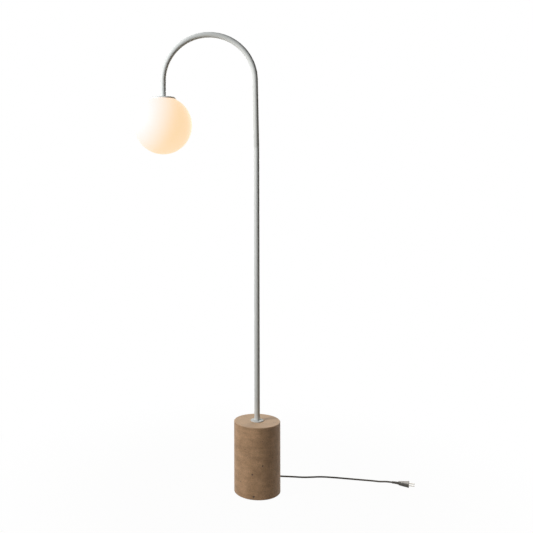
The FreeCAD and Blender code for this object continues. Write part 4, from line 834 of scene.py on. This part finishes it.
# The sleeves: moulded PVC like the strain relief, held in the shells by a groove.
SLEEVE_RADIUS = 5.2
SLEEVE_LENGTH = 9
for side, start, way, old in (("near", 138, -1, "switch_sleeve_near"), ("far", 202, 1, "switch_sleeve_far")):
    sleeve_outline = [(CORD_HOLE, -5), (SLEEVE_RADIUS, -5), (SLEEVE_RADIUS, -2.1), (3.8, -2.1), (3.8, 0.1),
                      (SLEEVE_RADIUS, 0.1, 0.3)]
    for rib in range(2):
        low = 2.2 + 3 * rib
        thick = SLEEVE_RADIUS - low / SLEEVE_LENGTH
        sleeve_outline += [(thick, low), (thick - 0.6, low + 0.3, 0.2), (thick - 0.6, low + 1.0, 0.2),
                           (thick - 0.05, low + 1.3)]
    sleeve_outline += [(4.2, SLEEVE_LENGTH, 0.3), (CORD_HOLE, SLEEVE_LENGTH)]
    sleeve = spun("switch_sleeve_" + side + "_ribbed", sleeve_outline, moulded_pvc, (0, start, 8),
                  (0, way, 0), 64)
    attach(sleeve, "stand")
    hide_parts(old)


# ---- Tie on the coil
# A soft rubber strap, 9 mm wide, that holds the put-away turns together. It is passed
# under the bundle and closed over it.

# EPDM rubber: black, dull and slightly dusty.
DUST_MM = 3
rubber, main, place = start_finish("epdm_rubber", Roughness=0.75, IOR=1.52)
dust = add(rubber, "TexNoise", {"Vector": place, "Scale": 1000 / DUST_MM, "Detail": 4.0})
tone = add(rubber, "MixRGB", {"Fac": dust.outputs["Fac"], "Color1": rgb("#272524"), "Color2": rgb("#413E3C")})
feed(rubber, main, Base_Color=tone.outputs["Color"])


def strap_ring(across, inset):
    """The strap's line round the bundle, at one place along its width."""
    low, high = 277.4 + inset, 305.5 - inset
    base, top = inset * 0.2, 13.7 - inset
    corner = 4.2 - inset
    ring = []
    for step in range(96):
        angle = math.tau * step / 96
        reach = Vector((math.cos(angle), math.sin(angle)))
        round_off = corner if reach.y > 0 else 0.4
        middle_y = low + round_off if reach.x < 0 else high - round_off
        middle_z = base + round_off if reach.y < 0 else top - round_off
        ring.append((COIL_MIDDLE[0] + across, middle_y + round_off * reach.x, middle_z + round_off * reach.y))
    return ring


# each pair is a place along the width, and how deep in the strap's thickness
tie = skin("coil_strap", [strap_ring(across, inset) for across, inset in (
    (-4.5, 0.2), (-4.2, 0), (4.2, 0), (4.5, 0.2), (4.5, 0.9), (4.2, 1.1), (-4.2, 1.1), (-4.5, 0.9),
)], rubber)
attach(tie, "stand")
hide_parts("cord_tie")


# ---- Plug
# A flat two-pin mains plug moulded on to the lead, 35 mm wide at its face, with a ribbed
# sleeve behind. It lies on its flat side at the cord's end.

PLUG_START = Vector(AT_PLUG)
plug_way = (PLUG_START - Vector(BEFORE_PLUG)).normalized()
plug_side = Vector((-plug_way.y, plug_way.x, 0))


def plug_ring(along, width, thick, corner, steps=96):
    """One cross-section of the plug's body: a rounded oblong, square to its length."""
    ring = []
    for step in range(steps):
        angle = math.tau * step / steps
        reach = Vector((math.cos(angle), math.sin(angle)))
        aside = math.copysign(width / 2 - corner, reach.x) + corner * reach.x
        above = math.copysign(thick / 2 - corner, reach.y) + corner * reach.y
        ring.append(PLUG_START + plug_way * along + plug_side * aside + Vector((0, 0, above)))
    return ring


# the body swells from the sleeve's end to its full width, and its face has a rounded edge
SLEEVE_END = 22
PLUG_FACE = 58
plug_sections = [(SLEEVE_END, 0, 0, 0), (SLEEVE_END, 11, 9.4, 4.6), (22.6, 13, 11, 4.6)]
for step in range(17):
    along = 24 + 30 * step / 16
    spread = (along - SLEEVE_END) / (PLUG_FACE - SLEEVE_END)
    plug_sections.append((along, 14 + 19.8 * spread ** 1.15, 12.2 + 0.8 * min(1, spread * 3),
                          4.4 - 1.6 * spread))
plug_sections += [(56.8, 35.2, 13, 2.8), (57.6, 34.6, 12.4, 2.6), (PLUG_FACE, 33.2, 11, 2.2),
                  (PLUG_FACE, 0, 0, 0)]
plug_body = skin("plug_moulding", [plug_ring(*section) for section in plug_sections], moulded_pvc,
                 closed=False)
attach(plug_body, "stand")
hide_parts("plug_body")

tail_outline = [(CORD_HOLE, 0), (4.1, 0, 0.4)]
for rib in range(5):
    low = 2.2 + 3.6 * rib
    thick = 4.15 + 0.8 * low / SLEEVE_END
    tail_outline += [(thick, low), (thick - 0.75, low + 0.35, 0.25), (thick - 0.75, low + 1.35, 0.25),
                     (thick + 0.05, low + 1.7)]
tail_outline += [(5, SLEEVE_END), (CORD_HOLE, SLEEVE_END)]
plug_tail = spun("plug_strain_relief", tail_outline, moulded_pvc, PLUG_START, plug_way, 64)
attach(plug_tail, "stand")
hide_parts("plug_sleeve")

# Pins: nickel-plated brass, 4 mm across, with an insulating sleeve on the half next to the plug.
PIN_SPACING = 19
for side, name in ((-PIN_SPACING / 2, "left"), (PIN_SPACING / 2, "right")):
    foot = PLUG_START + plug_way * PLUG_FACE + plug_side * side
    pin = spun("plug_pin_" + name, [(0, 0), (2, 0), (2, 9), (1.85, 9.1), (1.85, 18), (1.2, 19, 0.5), (0, 19)],
               nickel, foot, plug_way, 40)
    cover = spun("plug_pin_cover_" + name, [(1.8, 0), (1.99, 0), (1.99, 9.6, 0.05), (1.8, 9.6)],
                 moulded_pvc, foot, plug_way, 40)
    for part in (pin, cover):
        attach(part, "stand")
    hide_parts("plug_pins")


# ---- Room, light and camera
# A white sweep of paper under the lamp, and white all round. A soft window stands on the
# left, a broad panel hangs above, and a second window stands behind on the right.

def looked_at(finish):
    """1 where the camera, a mirror or a glass looks, and 0 for the light that falls on things."""
    seen = add(finish, "LightPath")
    either = add(finish, "Math", {0: seen.outputs["Is Camera Ray"], 1: seen.outputs["Is Glossy Ray"]},
                 operation="MAXIMUM")
    return add(finish, "Math", {0: either.outputs["Value"], 1: seen.outputs["Is Transmission Ray"]},
               operation="MAXIMUM").outputs["Value"]


# Matt paper: it throws back a faintly warm light, but is seen as white, with a share of
# the shadow on it. That white lights nothing, so the paper isn't sampled as a lamp.
NEAR_LAMP = 0.35
FAR_FROM_LAMP = 1.2
paper = bpy.data.materials.new("white_paper_sweep")
paper.use_nodes = True
paper.cycles.emission_sampling = "NONE"
main = paper.node_tree.nodes["Principled BSDF"]
main.inputs["Base Color"].default_value = rgb("#B0A899")
main.inputs["Roughness"].default_value = 0.9
glow = add(paper, "Emission", {"Color": (1, 1, 1, 1), "Strength": 1.0})
# its share of plain white grows with the distance from the lamp, in metres
where = add(paper, "VectorMath", {0: add(paper, "TexCoord").outputs["Object"]}, operation="LENGTH")
bright = add(paper, "MapRange", {"Value": where.outputs["Value"], "From Min": NEAR_LAMP,
                                 "From Max": FAR_FROM_LAMP, "To Min": 0.975, "To Max": 1.0},
             interpolation_type="SMOOTHSTEP")
share = add(paper, "Math", {0: looked_at(paper), 1: bright.outputs["Result"]}, operation="MULTIPLY")
blend = add(paper, "MixShader", {0: share.outputs["Value"], 1: main.outputs["BSDF"],
                                 2: glow.outputs["Emission"]})
paper.node_tree.links.new(blend.outputs["Shader"], paper.node_tree.nodes["Material Output"].inputs["Surface"])
PAPER_LEVEL = -0.0002
sweep_mesh = bpy.data.meshes.new("paper_sweep")
sweep_mesh.from_pydata([(across, away, PAPER_LEVEL) for across, away in ((-6, -5), (6, -5), (6, 6), (-6, 6))],
                       [], [(0, 1, 2, 3)])
sweep_mesh.materials.append(paper)
sweep = bpy.data.objects.new("paper_sweep", sweep_mesh)
bpy.context.scene.collection.objects.link(sweep)

ROOM_LIGHT = 0.015
room = bpy.data.worlds.new("white_room")
room.use_nodes = True
backdrop = room.node_tree.nodes["Background"]
backdrop.inputs["Color"].default_value = (1, 1, 1, 1)
level = add(room, "MapRange", {"Value": looked_at(room), "To Min": ROOM_LIGHT, "To Max": 1.0})
room.node_tree.links.new(level.outputs["Result"], backdrop.inputs["Strength"])
bpy.context.scene.world = room

# each lamp's place and what it looks at, in metres, its width, power in watts and colour
for name, spot, aim, size, power, tint in (
    ("window_left", (-2.1, -1.05, 1.9), (-0.1, 0, 1.7), 0.8, 54, "#FDFEFF"),
    ("ceiling_panel", (-0.3, -0.3, 5.0), (-0.3, 0, 0), 4.0, 10, "#FFFFFF"),
    ("window_behind", (1.4, 2.4, 1.7), (-0.1, 0, 0.9), 1.6, 33, "#FFF8EE"),
):
    lamp = bpy.data.lights.new(name, "AREA")
    lamp.size = size
    lamp.energy = power
    lamp.color = rgb(tint)[:3]
    holder = bpy.data.objects.new(name, lamp)
    holder.location = spot
    holder.rotation_euler = (Vector(aim) - Vector(spot)).to_track_quat("-Z", "Y").to_euler()
    bpy.context.scene.collection.objects.link(holder)

# the photograph's camera, level and at about a metre, shifted to frame the lamp
camera = bpy.data.cameras.new("camera")
camera.sensor_width = 36
camera.lens = 45.68
camera.shift_x = 0.1164
camera.shift_y = -0.1132
eye = bpy.data.objects.new("camera", camera)
eye.location = (-0.1815, -2.350, 0.9906)
eye.rotation_euler = (math.radians(90), math.radians(0.12), 0)
bpy.context.scene.collection.objects.link(eye)
bpy.context.scene.camera = eye
bpy.context.scene.view_settings.view_transform = "Standard"
